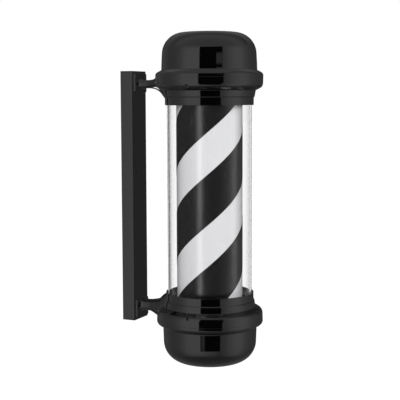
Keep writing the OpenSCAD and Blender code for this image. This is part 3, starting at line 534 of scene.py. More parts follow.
def makePlastic(name, spec):
    # moulded plastic or rubber: fine spark-eroded texture, and a slight change of shade over the piece
    material, tree, shader, place = principled(name, spec["colour"], spec["roughness"], ior=spec.get("ior", 1.46))
    texture = grain(tree, place, spec["grain"], 2.0, 0.5)
    shade = grain(tree, place, spec["patch"], 2.0, 0.5)
    tree.links.new(blendColour(tree, shade, spec["colour"], spec["second"]), shader.inputs["Base Color"])
    tree.links.new(spread(tree, texture, 0.3, 0.7, spec["roughness"] - 0.06, spec["roughness"] + 0.08),
                   shader.inputs["Roughness"])
    bump(tree, shader, texture, spec["depth"])
    return material


# stove enamel on the cast caps and arms: deep black that mirrors the studio almost like glass
capEnamel = makePaint("glossStoveEnamel", {"colour": "#040404", "roughness": 0.035, "hazed": 0.06, "ior": 1.48,
                      "peel": 9.0, "fine": 1.6, "fineShare": 0.12, "depth": 0.012, "haze": 60.0,
                      "dustGap": 14.0, "dust": "#0d0d0d"})
# powder coat on the pressed rail: black, a little softer, with fine grain
railEnamel = makePaint("blackPowderCoat", {"colour": "#060606", "roughness": 0.16, "hazed": 0.22, "ior": 1.5,
                       "peel": 3.0, "fine": 0.7, "fineShare": 0.4, "depth": 0.012, "haze": 40.0,
                       "dustGap": 11.0, "dust": "#121212"})
# zinc plate on pressed steel: pale grey with a faint bluish spangle
zincPlate = makeMetal("zincPlatedSteel", {"colour": "#aeb1b4", "second": "#c6c9cc", "roughness": 0.3, "dull": 0.42,
                      "grain": 0.9, "stretch": (1, 1, 0.12), "patch": 18.0, "depth": 0.01})
# bright zinc on small screws: paler, with turning marks
zincScrew = makeMetal("brightZincScrew", {"colour": "#c2c4c6", "second": "#aeb0b2", "roughness": 0.24, "dull": 0.34,
                      "grain": 0.4, "stretch": (1, 1, 1), "patch": 4.0, "depth": 0.004})
# drawn and clear-anodised aluminium of the lamp post: satin, with long draw lines
anodised = makeMetal("anodisedAluminium", {"colour": "#c9ccce", "second": "#bcbfc2", "roughness": 0.32, "dull": 0.4,
                     "grain": 0.5, "stretch": (1, 1, 0.04), "patch": 25.0, "depth": 0.004})
# ground steel of the shaft, motor can and gear case
groundSteel = makeMetal("groundSteel", {"colour": "#bfc1c3", "second": "#adb0b2", "roughness": 0.22, "dull": 0.34,
                        "grain": 0.4, "stretch": (1, 1, 8), "patch": 9.0, "depth": 0.004})
# turned brass of the hub and the terminal screws: warm yellow, lightly tarnished
brass = makeMetal("turnedBrass", {"colour": "#d9b45c", "second": "#c29a46", "roughness": 0.26, "dull": 0.4,
                  "grain": 0.4, "stretch": (1, 1, 6), "patch": 6.0, "depth": 0.004})
# black-oxided steel of the cap screws and the set screw: dark, oily sheen
blackOxide = makeMetal("blackOxideSteel", {"colour": "#1d1d1f", "second": "#29292b", "roughness": 0.3, "dull": 0.42,
                       "grain": 0.3, "stretch": (1, 1, 1), "patch": 3.0, "depth": 0.004})
# rubber of seals, gaskets and grommets: soft dull black
sealRubber = makePlastic("mouldedRubber", {"colour": "#17171a", "second": "#1e1e20", "roughness": 0.62,
                         "grain": 0.5, "patch": 8.0, "depth": 0.01, "ior": 1.52})
# cream polyamide of the terminal block, satin as moulded
terminalBody = makePlastic("mouldedPolyamide", {"colour": "#e6e2d4", "second": "#ddd8c8", "roughness": 0.42,
                           "grain": 0.4, "patch": 12.0, "depth": 0.006, "ior": 1.53})
# dark glass-filled nylon of the lamp flange: slightly mottled
flangeNylon = makePlastic("glassFilledNylon", {"colour": "#34363a", "second": "#3f4146", "roughness": 0.5,
                          "grain": 0.6, "patch": 5.0, "depth": 0.01, "ior": 1.53})
# white lacquered circuit board under the lamp chips
stripBoard = makePlastic("whiteCircuitBoard", {"colour": "#eceae2", "second": "#e2e0d6", "roughness": 0.36,
                         "grain": 0.5, "patch": 9.0, "depth": 0.003})
# yellow phosphor gel of the lamp chips, unlit
chipFace = makePlastic("phosphorGel", {"colour": "#ead36a", "second": "#e0c454", "roughness": 0.3,
                       "grain": 0.4, "patch": 2.0, "depth": 0.004, "ior": 1.41})
# white ABS case of the lamp driver
driverCase = makePlastic("whiteDriverCase", {"colour": "#e4e4e0", "second": "#dadad6", "roughness": 0.45,
                         "grain": 0.6, "patch": 20.0, "depth": 0.01, "ior": 1.53})
# grey PVC jacket of the leads
leadJacket = makePlastic("greyLeadJacket", {"colour": "#c9c9c7", "second": "#bdbdbb", "roughness": 0.48,
                         "grain": 0.8, "patch": 14.0, "depth": 0.006, "ior": 1.53})
# natural acetal of the bush and the thrust washer: waxy ivory
acetal = makePlastic("naturalAcetal", {"colour": "#ece8da", "second": "#e2ddcc", "roughness": 0.3,
                     "grain": 0.4, "patch": 10.0, "depth": 0.003, "ior": 1.48})
# white PVC end discs of the drum, satin
discPlastic = makePlastic("whitePvcDisc", {"colour": "#dededb", "second": "#d3d3cf", "roughness": 0.4,
                          "grain": 0.6, "patch": 25.0, "depth": 0.005, "ior": 1.53})



def makeOpal():
    # opal acrylic of the drum: milky white with a soft gloss, a hair of haze and faint long waviness
    material, tree, shader, place = principled("opalAcrylic", "#ececed", 0.26, ior=1.49, Specular_IOR_Level=1.0,
                                               Coat_Weight=1.0, Coat_Roughness=0.2, Coat_IOR=1.8)
    wave = grain(tree, place, 45.0, 1.0, 0.4, (1, 1, 0.3))
    cloud = grain(tree, place, 120.0, 2.0, 0.5)
    tree.links.new(blendColour(tree, cloud, "#eeeeef", "#e8e8ea"), shader.inputs["Base Color"])
    tree.links.new(spread(tree, wave, 0.3, 0.7, 0.23, 0.29), shader.inputs["Roughness"])
    bump(tree, shader, wave, 0.05)
    return material


def makeFilm():
    # calendered vinyl film: near-black, satin gloss, with the slight tension ripples of a wrapped film
    material, tree, shader, place = principled("blackVinylFilm", "#0d0b0c", 0.24, ior=1.5, Specular_IOR_Level=1.0)
    ripple = grain(tree, place, 22.0, 2.0, 0.5, (1, 1, 0.4))
    fine = grain(tree, place, 1.2, 1.0, 0.5)
    height = addNode(tree, "ShaderNodeMath", {0: fine, 1: 0.03, 2: ripple}, operation="MULTIPLY_ADD")
    tree.links.new(spread(tree, ripple, 0.3, 0.7, 0.21, 0.28), shader.inputs["Roughness"])
    tree.links.new(blendColour(tree, grain(tree, place, 70.0), "#0d0b0c", "#110e0f"), shader.inputs["Base Color"])
    bump(tree, shader, height.outputs[0], 0.03)
    return material


def makeAcrylic():
    # clear extruded acrylic: water-clear wall, faint draw lines along the tube, lamps shine through it
    material, tree, shader, place = principled("clearAcrylicTube", "#ffffff", 0.02, ior=1.49,
                                               Transmission_Weight=1.0, Specular_Tint=(0.1, 0.1, 0.1, 1))
    draw = grain(tree, place, 10.0, 1.0, 0.4, (1, 1, 0.03))
    bump(tree, shader, draw, 0.002)
    path = addNode(tree, "ShaderNodeLightPath")
    passes = addNode(tree, "ShaderNodeMath", {0: path.outputs["Is Shadow Ray"], 1: path.outputs["Is Diffuse Ray"]},
                     operation="MAXIMUM")
    clear = addNode(tree, "ShaderNodeBsdfTransparent", {"Color": (0.99, 0.99, 0.99, 1)})
    mixed = addNode(tree, "ShaderNodeMixShader", {0: passes.outputs[0], 1: shader.outputs[0], 2: clear.outputs[0]})
    out = [n for n in tree.nodes if n.type == "OUTPUT_MATERIAL"][0]
    tree.links.new(mixed.outputs[0], out.inputs["Surface"])
    return material


opal, filmVinyl, clearAcrylic = makeOpal(), makeFilm(), makeAcrylic()

finishes = {
    zincPlate: ["wall_plate", "top_plate", "bottom_plate"],
    zincScrew: ["rail_screws", "block_screws", "foot_screws", "arm_screws", "inner_plate_screws",
                "lamp_flange_screws", "driver_screws", "motor_screws", "motor_nuts", "disc_screws", "hub_screws"],
    sealRubber: ["cable_grommet", "top_dome_seal", "bottom_bowl_seal", "top_tube_gasket", "bottom_tube_gasket",
                 "lead_grommets"],
    terminalBody: ["terminal_block"],
    brass: ["terminal_screws", "drive_hub"],
    anodised: ["lamp_post"],
    flangeNylon: ["lamp_flange"],
    stripBoard: ["led_strips"],
    chipFace: ["led_chips"],
    driverCase: ["lamp_driver"],
    leadJacket: ["lamp_lead", "driver_lead", "motor_lead"],
    groundSteel: ["gear_case", "motor_can", "motor_shaft"],
    acetal: ["thrust_washer", "top_bush"],
    discPlastic: ["drum_top_disc", "drum_bottom_disc"],
    blackOxide: ["hub_set_screw", "cap_screws"],
    capEnamel: ["top_arm", "bottom_arm", "top_collar", "bottom_collar", "top_dome", "bottom_bowl"],
    railEnamel: ["rail", "rail_top_cap", "rail_bottom_cap"],
    clearAcrylic: ["outer_tube"],
    opal: ["drum_tube"],
    filmVinyl: ["stripe_film"],
}
for finish, names in finishes.items():
    for name in names:
        for paintSlot in nodes[name].material_slots:
            paintSlot.material = finish
print("materials made:", len(finishes))


# end caps

cap = {"neckR": 83.6, "draft": 0.2, "neckTop": 14.3, "stepRun": 1.8, "stepRise": 1.6, "stepR": 87.4, "stepTop": 27.2,
       "slopeR": 11.0, "slopeTurn": 50, "slopeEase": 2.4, "hollow": 1.6, "creaseR": 1.2, "beadR": 101.5, "beadDraft": 0.3,
       "beadLow": 38.6, "beadHigh": 57.0, "shoulderEase": 1.8, "split": 51.5, "shoulderR": 7.0, "shoulderTurn": 60,
       "shoulderTop": 65.65, "topWall": (1.0, 4.0), "bottomWall": (1.9, 2.1), "domeR": 89.8, "cornerAt": 48.3, "cornerR": 40.5, "cornerZ": 95.0, "cornerTurn": 86,
       "top": 137.5, "crown": 2.0, "wall": 3.5, "bore": 80.7, "ledgeR": 74.0, "ledge": 22.5, "seat": 30.0,
       "seatR": 88.6, "lipR": 97.0, "lipT": 2.0, "lipH": 3.0, "segments": 240, "edge": 0.7}
groove = {"radius": 3.2, "at": 98.4, "foot": 24.4, "top": 38.0, "turns": (0, 90, 270)}


def neckOutline(grow=0.0):
    # the collar's outside from its rim up to the bead
    c = cap
    centre = (c["beadR"] - c["beadDraft"] - c["slopeR"], c["beadLow"] + c["slopeEase"])
    points = [(c["neckR"], 0), (c["neckR"] + c["draft"], c["neckTop"]),
              (c["neckR"] + c["stepRun"], c["neckTop"] + c["stepRise"]), (c["stepR"], c["stepTop"], c["hollow"])]
    points += arcPoints(centre, c["slopeR"], -c["slopeTurn"], 0, 18)
    return [(p[0] + grow,) + tuple(p[1:]) for p in points]


def collarOutline():
    c = cap
    lip, seatR, seat = c["lipR"], c["seatR"], c["seat"]
    beadIn = c["beadR"] - c["wall"]
    inner = [(lip, c["split"]), (lip, c["split"] + c["lipH"]), (lip - c["lipT"], c["split"] + c["lipH"]),
             (lip - c["lipT"], c["split"] - 4), (beadIn, c["beadLow"] + 3), (beadIn - 2, c["beadLow"] - 1),
             (seatR + 3.4, seat + 4), (seatR, seat + 3), (seatR, seat), (c["ledgeR"], seat),
             (c["ledgeR"], c["ledge"]), (c["bore"], c["ledge"]), (c["bore"], 0)]
    return soften(neckOutline() + [(c["beadR"], c["split"], 0.35)] + inner, c["edge"])


def domeOutline(wallTurn):
    # wallTurn is how much the wall leans in at its foot and where it meets the corner
    c = cap
    shoulder = arcPoints((c["beadR"] + c["beadDraft"] / 3 - c["shoulderR"], c["beadHigh"] - c["shoulderEase"]),
                         c["shoulderR"], 0, c["shoulderTurn"], 14)
    # the wall is a slight barrel that meets the corner smoothly
    low, high = (math.radians(t) for t in wallTurn)
    corner = arcPoints((c["cornerAt"], c["cornerZ"]), c["cornerR"], wallTurn[1], c["cornerTurn"], 44)
    barrel = (corner[0][1] - c["shoulderTop"]) / (math.sin(high) - math.sin(low))
    centre = (corner[0][0] - barrel * math.cos(high), corner[0][1] - barrel * math.sin(high))
    wall = arcPoints(centre, barrel, *wallTurn, 10)[:-1]
    wall[0] = tuple(wall[0][:2]) + (c["creaseR"],)
    crown = [(c["cornerAt"] * u / 12, c["top"] - c["crown"] * (u / 12) ** 2) for u in range(10, -1, -1)]
    outer = [(c["beadR"], c["split"], 0.35)] + shoulder
    outer += wall + corner + crown
    hollow = [(c["cornerAt"] * u / 4, c["top"] - c["wall"] - c["crown"] * (u / 4) ** 2) for u in range(0, 4)]
    hollow += arcPoints((c["cornerAt"], c["cornerZ"]), c["cornerR"] - c["wall"], c["cornerTurn"], 0, 24)
    hollow += [(c["domeR"] - c["wall"], c["shoulderTop"] + 1.6), (c["beadR"] - c["wall"], c["beadHigh"] + 1),
               (c["beadR"] - c["wall"], c["split"])]
    return soften(outer + hollow, 0.3, 24)


def grooveCutters(flip):
    made = []
    for turn in groove["turns"]:
        a, sign = math.radians(turn), -1 if flip else 1
        x, y = pole["axisX"] + groove["at"] * math.cos(a), groove["at"] * math.sin(a)
        made.append(rod("grooveCutter", groove["radius"], (x, y, sign * (pole["rim"] + groove["foot"])),
                        (x, y, sign * (pole["rim"] + groove["top"]))))
    return made


def buildCaps():
    for flip, collarName, collarNode, domeName, domeNode in (
            (False, "topCollarCasting", "top_collar", "topDomeCasting", "top_dome"),
            (True, "bottomCollarCasting", "bottom_collar", "bottomBowlCasting", "bottom_bowl")):
        collar = lathe(collarName, collarOutline(), cap["segments"], capEnamel, pole["rim"], flip, 28)
        combine(collar, grooveCutters(flip), sharpFrom=28)
        dome = lathe(domeName, domeOutline(cap["bottomWall" if flip else "topWall"]), cap["segments"], capEnamel, pole["rim"], flip, 28)
        fitPiece(collar, "pole", collarNode, False)
        fitPiece(dome, "pole", domeNode, flip)


buildCaps()
print("end caps built")


# clear tube and drum

tube = {"outer": 80.0, "wall": 3.0, "half": 198.0, "edge": 0.5, "segments": 240}
drum = {"outer": 62.5, "wall": 1.5, "half": 201.5, "edge": 0.3, "segments": 240}
film = {"radius": 62.56, "thickness": 0.3, "halfLength": 192.3, "pitch": 343.0, "height": 94.0,
        "start": 238.0, "count": 2, "across": 61, "along": 121}


def ringOutline(spec):
    outer, bore, half = spec["outer"], spec["outer"] - spec["wall"], spec["half"]
    return soften([(bore, -half), (outer, -half), (outer, half), (bore, half)], spec["edge"])


def buildTube():
    wall = lathe("clearTube", ringOutline(tube), tube["segments"], clearAcrylic)
    fitPiece(wall, "pole", "outer_tube")
    sleeve = lathe("drumSleeve", ringOutline(drum), drum["segments"], opal)
    fitPiece(sleeve, "drum", "drum_tube")


def treeWithInputs(name, sizes):
    # a node group whose named number inputs start at the given sizes
    tree = bpy.data.node_groups.new(name, "GeometryNodeTree")
    tree.interface.new_socket("Geometry", in_out="OUTPUT", socket_type="NodeSocketGeometry")
    for label, value in sizes.items():
        kind = "NodeSocketInt" if isinstance(value, int) else "NodeSocketFloat"
        socket = tree.interface.new_socket(label, in_out="INPUT", socket_type=kind)
        socket.default_value = value
    tree.interface.new_socket("Material", in_out="INPUT", socket_type="NodeSocketMaterial")
    return tree, addNode(tree, "NodeGroupInput")


def finishTree(tree, given, shape):
    # moves the shape to the pole's axis, and ends the tree in real geometry with its material
    real = addNode(tree, "GeometryNodeRealizeInstances", {0: shape})
    offset = addNode(tree, "ShaderNodeCombineXYZ", {0: given.outputs["Axis"]})
    moved = addNode(tree, "GeometryNodeTransform", {"Geometry": real.outputs[0], "Translation": offset.outputs[0]})
    finish = addNode(tree, "GeometryNodeSetMaterial", {"Geometry": moved.outputs[0],
                     "Material": given.outputs["Material"]})
    addNode(tree, "NodeGroupOutput", {0: finish.outputs[0]})


def growFromTree(name, tree, sizes, material, sharpFrom=32):
    # runs the tree on an empty mesh and keeps what it makes as a plain mesh
    holder = bpy.data.objects.new(name, bpy.data.meshes.new(name))
    scene.collection.objects.link(holder)
    step = holder.modifiers.new("grow", "NODES")
    step.node_group = tree
    for item in tree.interface.items_tree:
        if item.in_out == "INPUT":
            step[item.identifier] = material if item.name == "Material" else sizes[item.name]
    return applyModifiers(holder, sharpFrom)


def buildFilm():
    # each stripe is a thin box wrapped round the drum so that it climbs one pitch a turn
    sizes = {"Radius": film["radius"] / 1000, "Thickness": film["thickness"] / 1000,
             "Half length": film["halfLength"] / 1000, "Pitch": film["pitch"] / 1000,
             "Stripe height": film["height"] / 1000, "Start turn": math.radians(film["start"]),
             "Axis": pole["axisX"] / 1000, "Stripes": film["count"]}
    tree, given = treeWithInputs("wrappedStripes", sizes)
    box = addNode(tree, "GeometryNodeMeshCube", {"Size": (1, 1, 1), "Vertices X": 2, "Vertices Y": film["across"],
                  "Vertices Z": film["along"]})
    spot = addNode(tree, "ShaderNodeSeparateXYZ", {0: addNode(tree, "GeometryNodeInputPosition").outputs[0]})
    out = both(tree, spot.outputs["X"], 0.5, "ADD")
    radius = addNode(tree, "ShaderNodeMath", {0: out, 1: given.outputs["Thickness"],
                     2: given.outputs["Radius"]}, operation="MULTIPLY_ADD")
    height = both(tree, spot.outputs["Z"], both(tree, given.outputs["Half length"], 2.0))
    across = both(tree, spot.outputs["Y"], 0.5, "ADD")
    climb = addNode(tree, "ShaderNodeMath", {0: across, 1: given.outputs["Stripe height"], 2: height},
                    operation="MULTIPLY_ADD")
    turns = both(tree, climb.outputs[0], given.outputs["Pitch"], "DIVIDE")
    angle = addNode(tree, "ShaderNodeMath", {0: turns, 1: 2 * math.pi, 2: given.outputs["Start turn"]},
                    operation="MULTIPLY_ADD").outputs[0]
    cosine = addNode(tree, "ShaderNodeMath", {0: angle}, operation="COSINE")
    sine = addNode(tree, "ShaderNodeMath", {0: angle}, operation="SINE")
    wrapped = addNode(tree, "ShaderNodeCombineXYZ", {0: both(tree, radius.outputs[0], cosine.outputs[0]),
                      1: both(tree, radius.outputs[0], sine.outputs[0]), 2: height})
    stripe = addNode(tree, "GeometryNodeSetPosition", {"Geometry": box.outputs[0], "Position": wrapped.outputs[0]})
    spots = addNode(tree, "GeometryNodePoints", {"Count": given.outputs["Stripes"]})
    order = addNode(tree, "GeometryNodeInputIndex")
    turn = both(tree, both(tree, order.outputs[0], given.outputs["Stripes"], "DIVIDE"), 2 * math.pi)
    spin = addNode(tree, "ShaderNodeCombineXYZ", {2: turn})
    spins = addNode(tree, "FunctionNodeEulerToRotation", {0: spin.outputs[0]})
    copies = addNode(tree, "GeometryNodeInstanceOnPoints", {"Points": spots.outputs[0], "Instance": stripe.outputs[0],
                     "Rotation": spins.outputs[0]})
    finishTree(tree, given, copies.outputs[0])
    made = growFromTree("stripeFilm", tree, sizes, filmVinyl)
    fitPiece(made, "drum", "stripe_film")
    return made


buildTube()
stripes = buildFilm()
print("tube and drum built:", len(stripes.data.polygons), "stripe faces")


# cap screws in their grooves

capScrew = {"shank": 1.5, "shankTop": 59.0, "head": 2.75, "headTop": 38.0, "headHeight": 3.0, "socket": 1.44,
            "socketDepth": 1.6, "at": 98.4, "sides": 36, "bevel": 0.25}


def buildCapScrews():
    # socket heads that look down out of their grooves, every quarter turn but the wall's, at both ends
    c = capScrew
    sizes = {"Shank radius": c["shank"] / 1000, "Shank top": (pole["rim"] + c["shankTop"]) / 1000,
             "Head radius": c["head"] / 1000, "Head top": (pole["rim"] + c["headTop"]) / 1000,
             "Head height": c["headHeight"] / 1000, "Socket radius": c["socket"] / 1000,
             "Socket depth": c["socketDepth"] / 1000, "Edge": c["bevel"] / 1000, "Circle radius": c["at"] / 1000,
             "Axis": pole["axisX"] / 1000, "Quarter turns": 4}
    tree, given = treeWithInputs("capScrews", sizes)
    g = given.outputs
    foot = both(tree, g["Head top"], g["Head height"], "SUBTRACT")
    rings = [(both(tree, g["Socket radius"], 0.05), both(tree, foot, g["Socket depth"], "ADD")),
             (g["Socket radius"], both(tree, foot, g["Socket depth"], "ADD")),
             (g["Socket radius"], foot),
             (both(tree, g["Head radius"], g["Edge"], "SUBTRACT"), foot),
             (g["Head radius"], both(tree, foot, g["Edge"], "ADD")),
             (g["Head radius"], g["Head top"]), (g["Shank radius"], g["Head top"]),
             (g["Shank radius"], g["Shank top"])]
    grid = addNode(tree, "GeometryNodeMeshCylinder", {"Vertices": c["sides"], "Side Segments": len(rings) - 1,
                   "Radius": 1.0, "Depth": 1.0}, fill_type="NGON")
    spot = addNode(tree, "ShaderNodeSeparateXYZ", {0: addNode(tree, "GeometryNodeInputPosition").outputs[0]})
    level = both(tree, both(tree, spot.outputs["Z"], 0.5, "ADD"), float(len(rings) - 1))
    level = addNode(tree, "ShaderNodeMath", {0: level}, operation="ROUND").outputs[0]
    radius, height = 0.0, 0.0
    for i, (ringRadius, ringHeight) in enumerate(rings):
        here = addNode(tree, "ShaderNodeMath", {0: level, 1: float(i), 2: 0.25}, operation="COMPARE").outputs[0]
        radius = addNode(tree, "ShaderNodeMath", {0: here, 1: ringRadius, 2: radius}, operation="MULTIPLY_ADD").outputs[0]
        height = addNode(tree, "ShaderNodeMath", {0: here, 1: ringHeight, 2: height}, operation="MULTIPLY_ADD").outputs[0]
    angle = both(tree, spot.outputs["Y"], spot.outputs["X"], "ARCTAN2")
    # the socket's rings are drawn out into a hexagon
    wedge = addNode(tree, "ShaderNodeMath", {0: angle, 1: -math.pi / 6, 2: math.pi / 6}, operation="WRAP").outputs[0]
    flat = addNode(tree, "ShaderNodeMath", {0: wedge}, operation="COSINE").outputs[0]
    hexagon = both(tree, both(tree, level, 2.5, "LESS_THAN"), both(tree, both(tree, 1.0, flat, "DIVIDE"), 1.0, "SUBTRACT"))
    radius = addNode(tree, "ShaderNodeMath", {0: radius, 1: hexagon, 2: radius}, operation="MULTIPLY_ADD").outputs[0]
    cosine = addNode(tree, "ShaderNodeMath", {0: angle}, operation="COSINE").outputs[0]
    sine = addNode(tree, "ShaderNodeMath", {0: angle}, operation="SINE").outputs[0]
    shaped = addNode(tree, "ShaderNodeCombineXYZ", {0: both(tree, radius, cosine), 1: both(tree, radius, sine), 2: height})
    screw = addNode(tree, "GeometryNodeSetPosition", {"Geometry": grid.outputs[0], "Position": shaped.outputs[0]})
    spots = addNode(tree, "GeometryNodePoints", {"Count": g["Quarter turns"]})
    order = addNode(tree, "GeometryNodeInputIndex").outputs[0]
    turn = both(tree, both(tree, order, g["Quarter turns"], "DIVIDE"), 2 * math.pi)
    away = addNode(tree, "ShaderNodeCombineXYZ", {
        0: both(tree, g["Circle radius"], addNode(tree, "ShaderNodeMath", {0: turn}, operation="COSINE").outputs[0]),
        1: both(tree, g["Circle radius"], addNode(tree, "ShaderNodeMath", {0: turn}, operation="SINE").outputs[0])})
    placed = addNode(tree, "GeometryNodeSetPosition", {"Geometry": spots.outputs[0], "Position": away.outputs[0]})
    wallSide = addNode(tree, "ShaderNodeMath", {0: order, 1: 2.0, 2: 0.25}, operation="COMPARE")
    kept = addNode(tree, "GeometryNodeDeleteGeometry", {"Geometry": placed.outputs[0], "Selection": wallSide.outputs[0]},
                   domain="POINT")
    upper = addNode(tree, "GeometryNodeInstanceOnPoints", {"Points": kept.outputs[0], "Instance": screw.outputs[0]})
    lower = addNode(tree, "GeometryNodeTransform", {"Geometry": upper.outputs[0], "Rotation": (math.pi, 0, 0)})
    joined = addNode(tree, "GeometryNodeJoinGeometry", {0: upper.outputs[0]})
    tree.links.new(lower.outputs[0], joined.inputs[0])
    finishTree(tree, given, joined.outputs[0])
    made = growFromTree("capScrewSet", tree, sizes, blackOxide)
    outward(made)
    fitPiece(made, "pole", "cap_screws")


def outward(piece):
    # faces turned to look out of each closed shell
    shell = bmesh.new()
    shell.from_mesh(piece.data)
    bmesh.ops.recalc_face_normals(shell, faces=shell.faces)
    shell.to_mesh(piece.data)
    shell.free()
    finishMesh(piece.data)


buildCapScrews()
print("cap screws built")


# arms: cast brackets between the rail and the collars

arm = {"axis": 220.3, "railX": 26.5, "footT": 4.5, "footHalfWide": 22.5, "footHalfHigh": 18.5, "footR": 4.0,
       "footEdge": 1.0, "start": 29.8, "end": 96.4, "step": 1.6, "power": 3.2, "around": 64, "gap": 0.3,
       "saddleTop": 55.5, "bore": 3.0, "footScrewY": 10.0, "footScrewIn": 38.5, "armScrewY": 12.0,
       "armScrewTip": 59.5, "screwBore": 2.55}
# outer edge and inner edge along each arm, as distance from the wall and offset from the screws' line; the rib
# is a thin curved strut on the inner side, with daylight between it and the beam
armEdges = {
    "top": {"outer": [(29.8, 7.6), (33, 5.9), (38, 5.5), (52, 5.5), (57, 6.1), (62, 6.9), (66, 8.6), (70, 10.4),
                      (75, 12.0), (96.4, 12.4)],
            "inner": [(29.8, -12.6), (33, -10.8), (38, -10.4), (47, -10.2), (53, -8.9), (60, -8.1), (66, -8.5),
                      (70, -9.4), (74, -11.4), (77.5, -13.8), (80.4, -16.5), (84, -20.5), (88, -25.5), (96.4, -33)],
            "rib": [(44.0, -10.4), (50.6, -10.4), (57, -11.2), (62.6, -12.3), (67, -14.2), (70.7, -16.2),
                    (75.2, -19.9), (78.4, -23.7), (81.6, -28.0), (86, -32.5), (94, -35.5)]},
    "bottom": {"outer": [(29.8, 6.6), (33, 5.0), (38, 4.6), (49, 4.6), (54.6, 5.8), (59, 7.7), (63, 9.6), (66, 11.6),
                         (70, 12.4), (96.4, 12.4)],
               "inner": [(29.8, -17.4), (33, -16.4), (38, -16.1), (46, -16.4), (53, -17.3), (59, -18.4),
                         (64, -19.6), (68.3, -21.0), (72.5, -23.0), (75.7, -25.4), (79, -28.8), (84, -33.0),
                         (90, -35.5), (96.4, -36)],
               "rib": []}}
armWidth = [(29.8, 16.4), (33, 14.6), (38, 14.0), (50, 14.4), (60, 16.4), (72, 19.6), (84, 23.4), (96.4, 26.0)]
armRib = {"halfWide": 3.5, "thick": 2.2, "step": 1.5, "around": 24}


def follow(table, x):
    # smooth value of a table of places and values, without overshoot
    for i in range(len(table) - 1):
        (x0, v0), (x1, v1) = table[i], table[i + 1]
        if x <= x1 or i == len(table) - 2:
            slopes = []
            for k in (i, i + 1):
                before = (table[k][1] - table[k - 1][1]) / (table[k][0] - table[k - 1][0]) if k > 0 else 0.0
                after = (table[k + 1][1] - table[k][1]) / (table[k + 1][0] - table[k][0]) if k < len(table) - 1 else 0.0
                slopes.append(0.0 if before * after <= 0 else 2 * before * after / (before + after))
            t, span = min(1.0, max(0.0, (x - x0) / (x1 - x0))), x1 - x0
            return (v0 * (1 + 2 * t) * (1 - t) ** 2 + v1 * t * t * (3 - 2 * t)
                    + slopes[0] * span * t * (1 - t) ** 2 - slopes[1] * span * t * t * (1 - t))


def sectionRing(x, wide, high, low, around, sign):
    # one boxy, rounded section across the arm
    ring = []
    for k in range(around):
        a = 2 * math.pi * k / around
        c, s = math.cos(a), math.sin(a)
        y = wide * math.copysign(abs(c) ** (2 / arm["power"]), c)
        z = (high + low) / 2 + (high - low) / 2 * math.copysign(abs(s) ** (2 / arm["power"]), s)
        ring.append((x, y, sign * (arm["axis"] + z)))
    return ring if sign > 0 else ring[::-1]


def stations(start, end, step):
    count = round((end - start) / step)
    return [start + (end - start) * i / count for i in range(count + 1)]


def roundedRing(x, halfWide, halfHigh, radius, z, steps=6):
    ring = []
    for quarter in range(4):
        a0 = math.pi / 2 * quarter
        cy = (halfWide - radius) * (1 if quarter in (0, 3) else -1)
        cz = (halfHigh - radius) * (1 if quarter in (0, 1) else -1)
        for k in range(steps + 1):
            a = a0 + math.pi / 2 * k / steps
            ring.append((x, cy + radius * math.cos(a), z + cz + radius * math.sin(a)))
    return ring


def softPlate(name, x0, x1, halfWide, halfHigh, radius, edge, z, material=None):
    # an upright plate between two distances from the wall, with rounded corners and a softened outer edge
    rings = [(x0, 0.0), (x0 + 0.3, 0.0), (x1 - edge - 0.3, 0.0), (x1 - edge, 0.0)]
    rings += [(x1 - edge + edge * math.sin(a), edge * (1 - math.cos(a))) for a in (0.4, 0.8, 1.2, math.pi / 2)]
    return loft(name, [roundedRing(x, halfWide - d, halfHigh - d, radius - d, z) for x, d in rings], material)


def buildArm(name, node, edges, sign):
    a = arm
    z = sign * a["axis"]
    beam = loft(name, [sectionRing(x, follow(armWidth, x), follow(edges["outer"], x), follow(edges["inner"], x),
                                   a["around"], sign) for x in stations(a["start"], a["end"], a["step"])], capEnamel)
    foot = softPlate("armFoot", a["railX"], a["railX"] + a["footT"], a["footHalfWide"], a["footHalfHigh"],
                     a["footR"], a["footEdge"], z)
    joined = [foot]
    if edges["rib"]:
        low, high = edges["rib"][0][0], edges["rib"][-1][0]
        joined.append(loft("armRib", [sectionRing(x, armRib["halfWide"], follow(edges["rib"], x) + armRib["thick"],
                                                  follow(edges["rib"], x), armRib["around"], sign)
                                      for x in stations(low, high, armRib["step"])]))
    combine(beam, joined, "UNION")
    # the saddle follows the collar a hair's breadth away, and the screws and the lead have their bores
    solid = [(0, 0)] + [p[:2] for p in neckOutline(a["gap"])] + [(cap["beadR"] + a["gap"], a["saddleTop"]),
                                                                 (0, a["saddleTop"])]
    saddle = lathe("saddleCutter", solid, cap["segments"], None, pole["rim"], sign < 0)
    cutters = [saddle, rod("leadBore", a["bore"], (a["railX"] - 1, 0, z), (a["end"] + 1, 0, z))]
    for y in (-1, 1):
        cutters.append(rod("footBore", a["screwBore"], (a["railX"] - 1, y * a["footScrewY"], z),
                           (a["footScrewIn"], y * a["footScrewY"], z)))
        cutters.append(rod("armBore", a["screwBore"], (a["armScrewTip"], y * a["armScrewY"], z),
                           (a["end"] + 1, y * a["armScrewY"], z)))
    combine(beam, cutters)
    fitPiece(beam, "pole", node, False)


def buildArms():
    buildArm("topArmCasting", "top_arm", armEdges["top"], 1)
    buildArm("bottomArmCasting", "bottom_arm", armEdges["bottom"], -1)


buildArms()
print("arms built")


# rail on the wall

rail = {"back": 0.5, "front": 26.5, "halfWide": 27.5, "half": 240.0, "corner": 1.2, "wall": 2.5, "armZ": 220.3,
        "leadBore": 5.0, "screwBore": 2.65, "screwY": 10.0}
railEnd = {"thick": 3.0, "plug": 3.0, "gap": 0.2, "plateFront": 3.2, "edge": 0.6, "screwX": 12.0, "bore": 2.15,
           "sink": 4.3, "sinkDepth": 2.15}


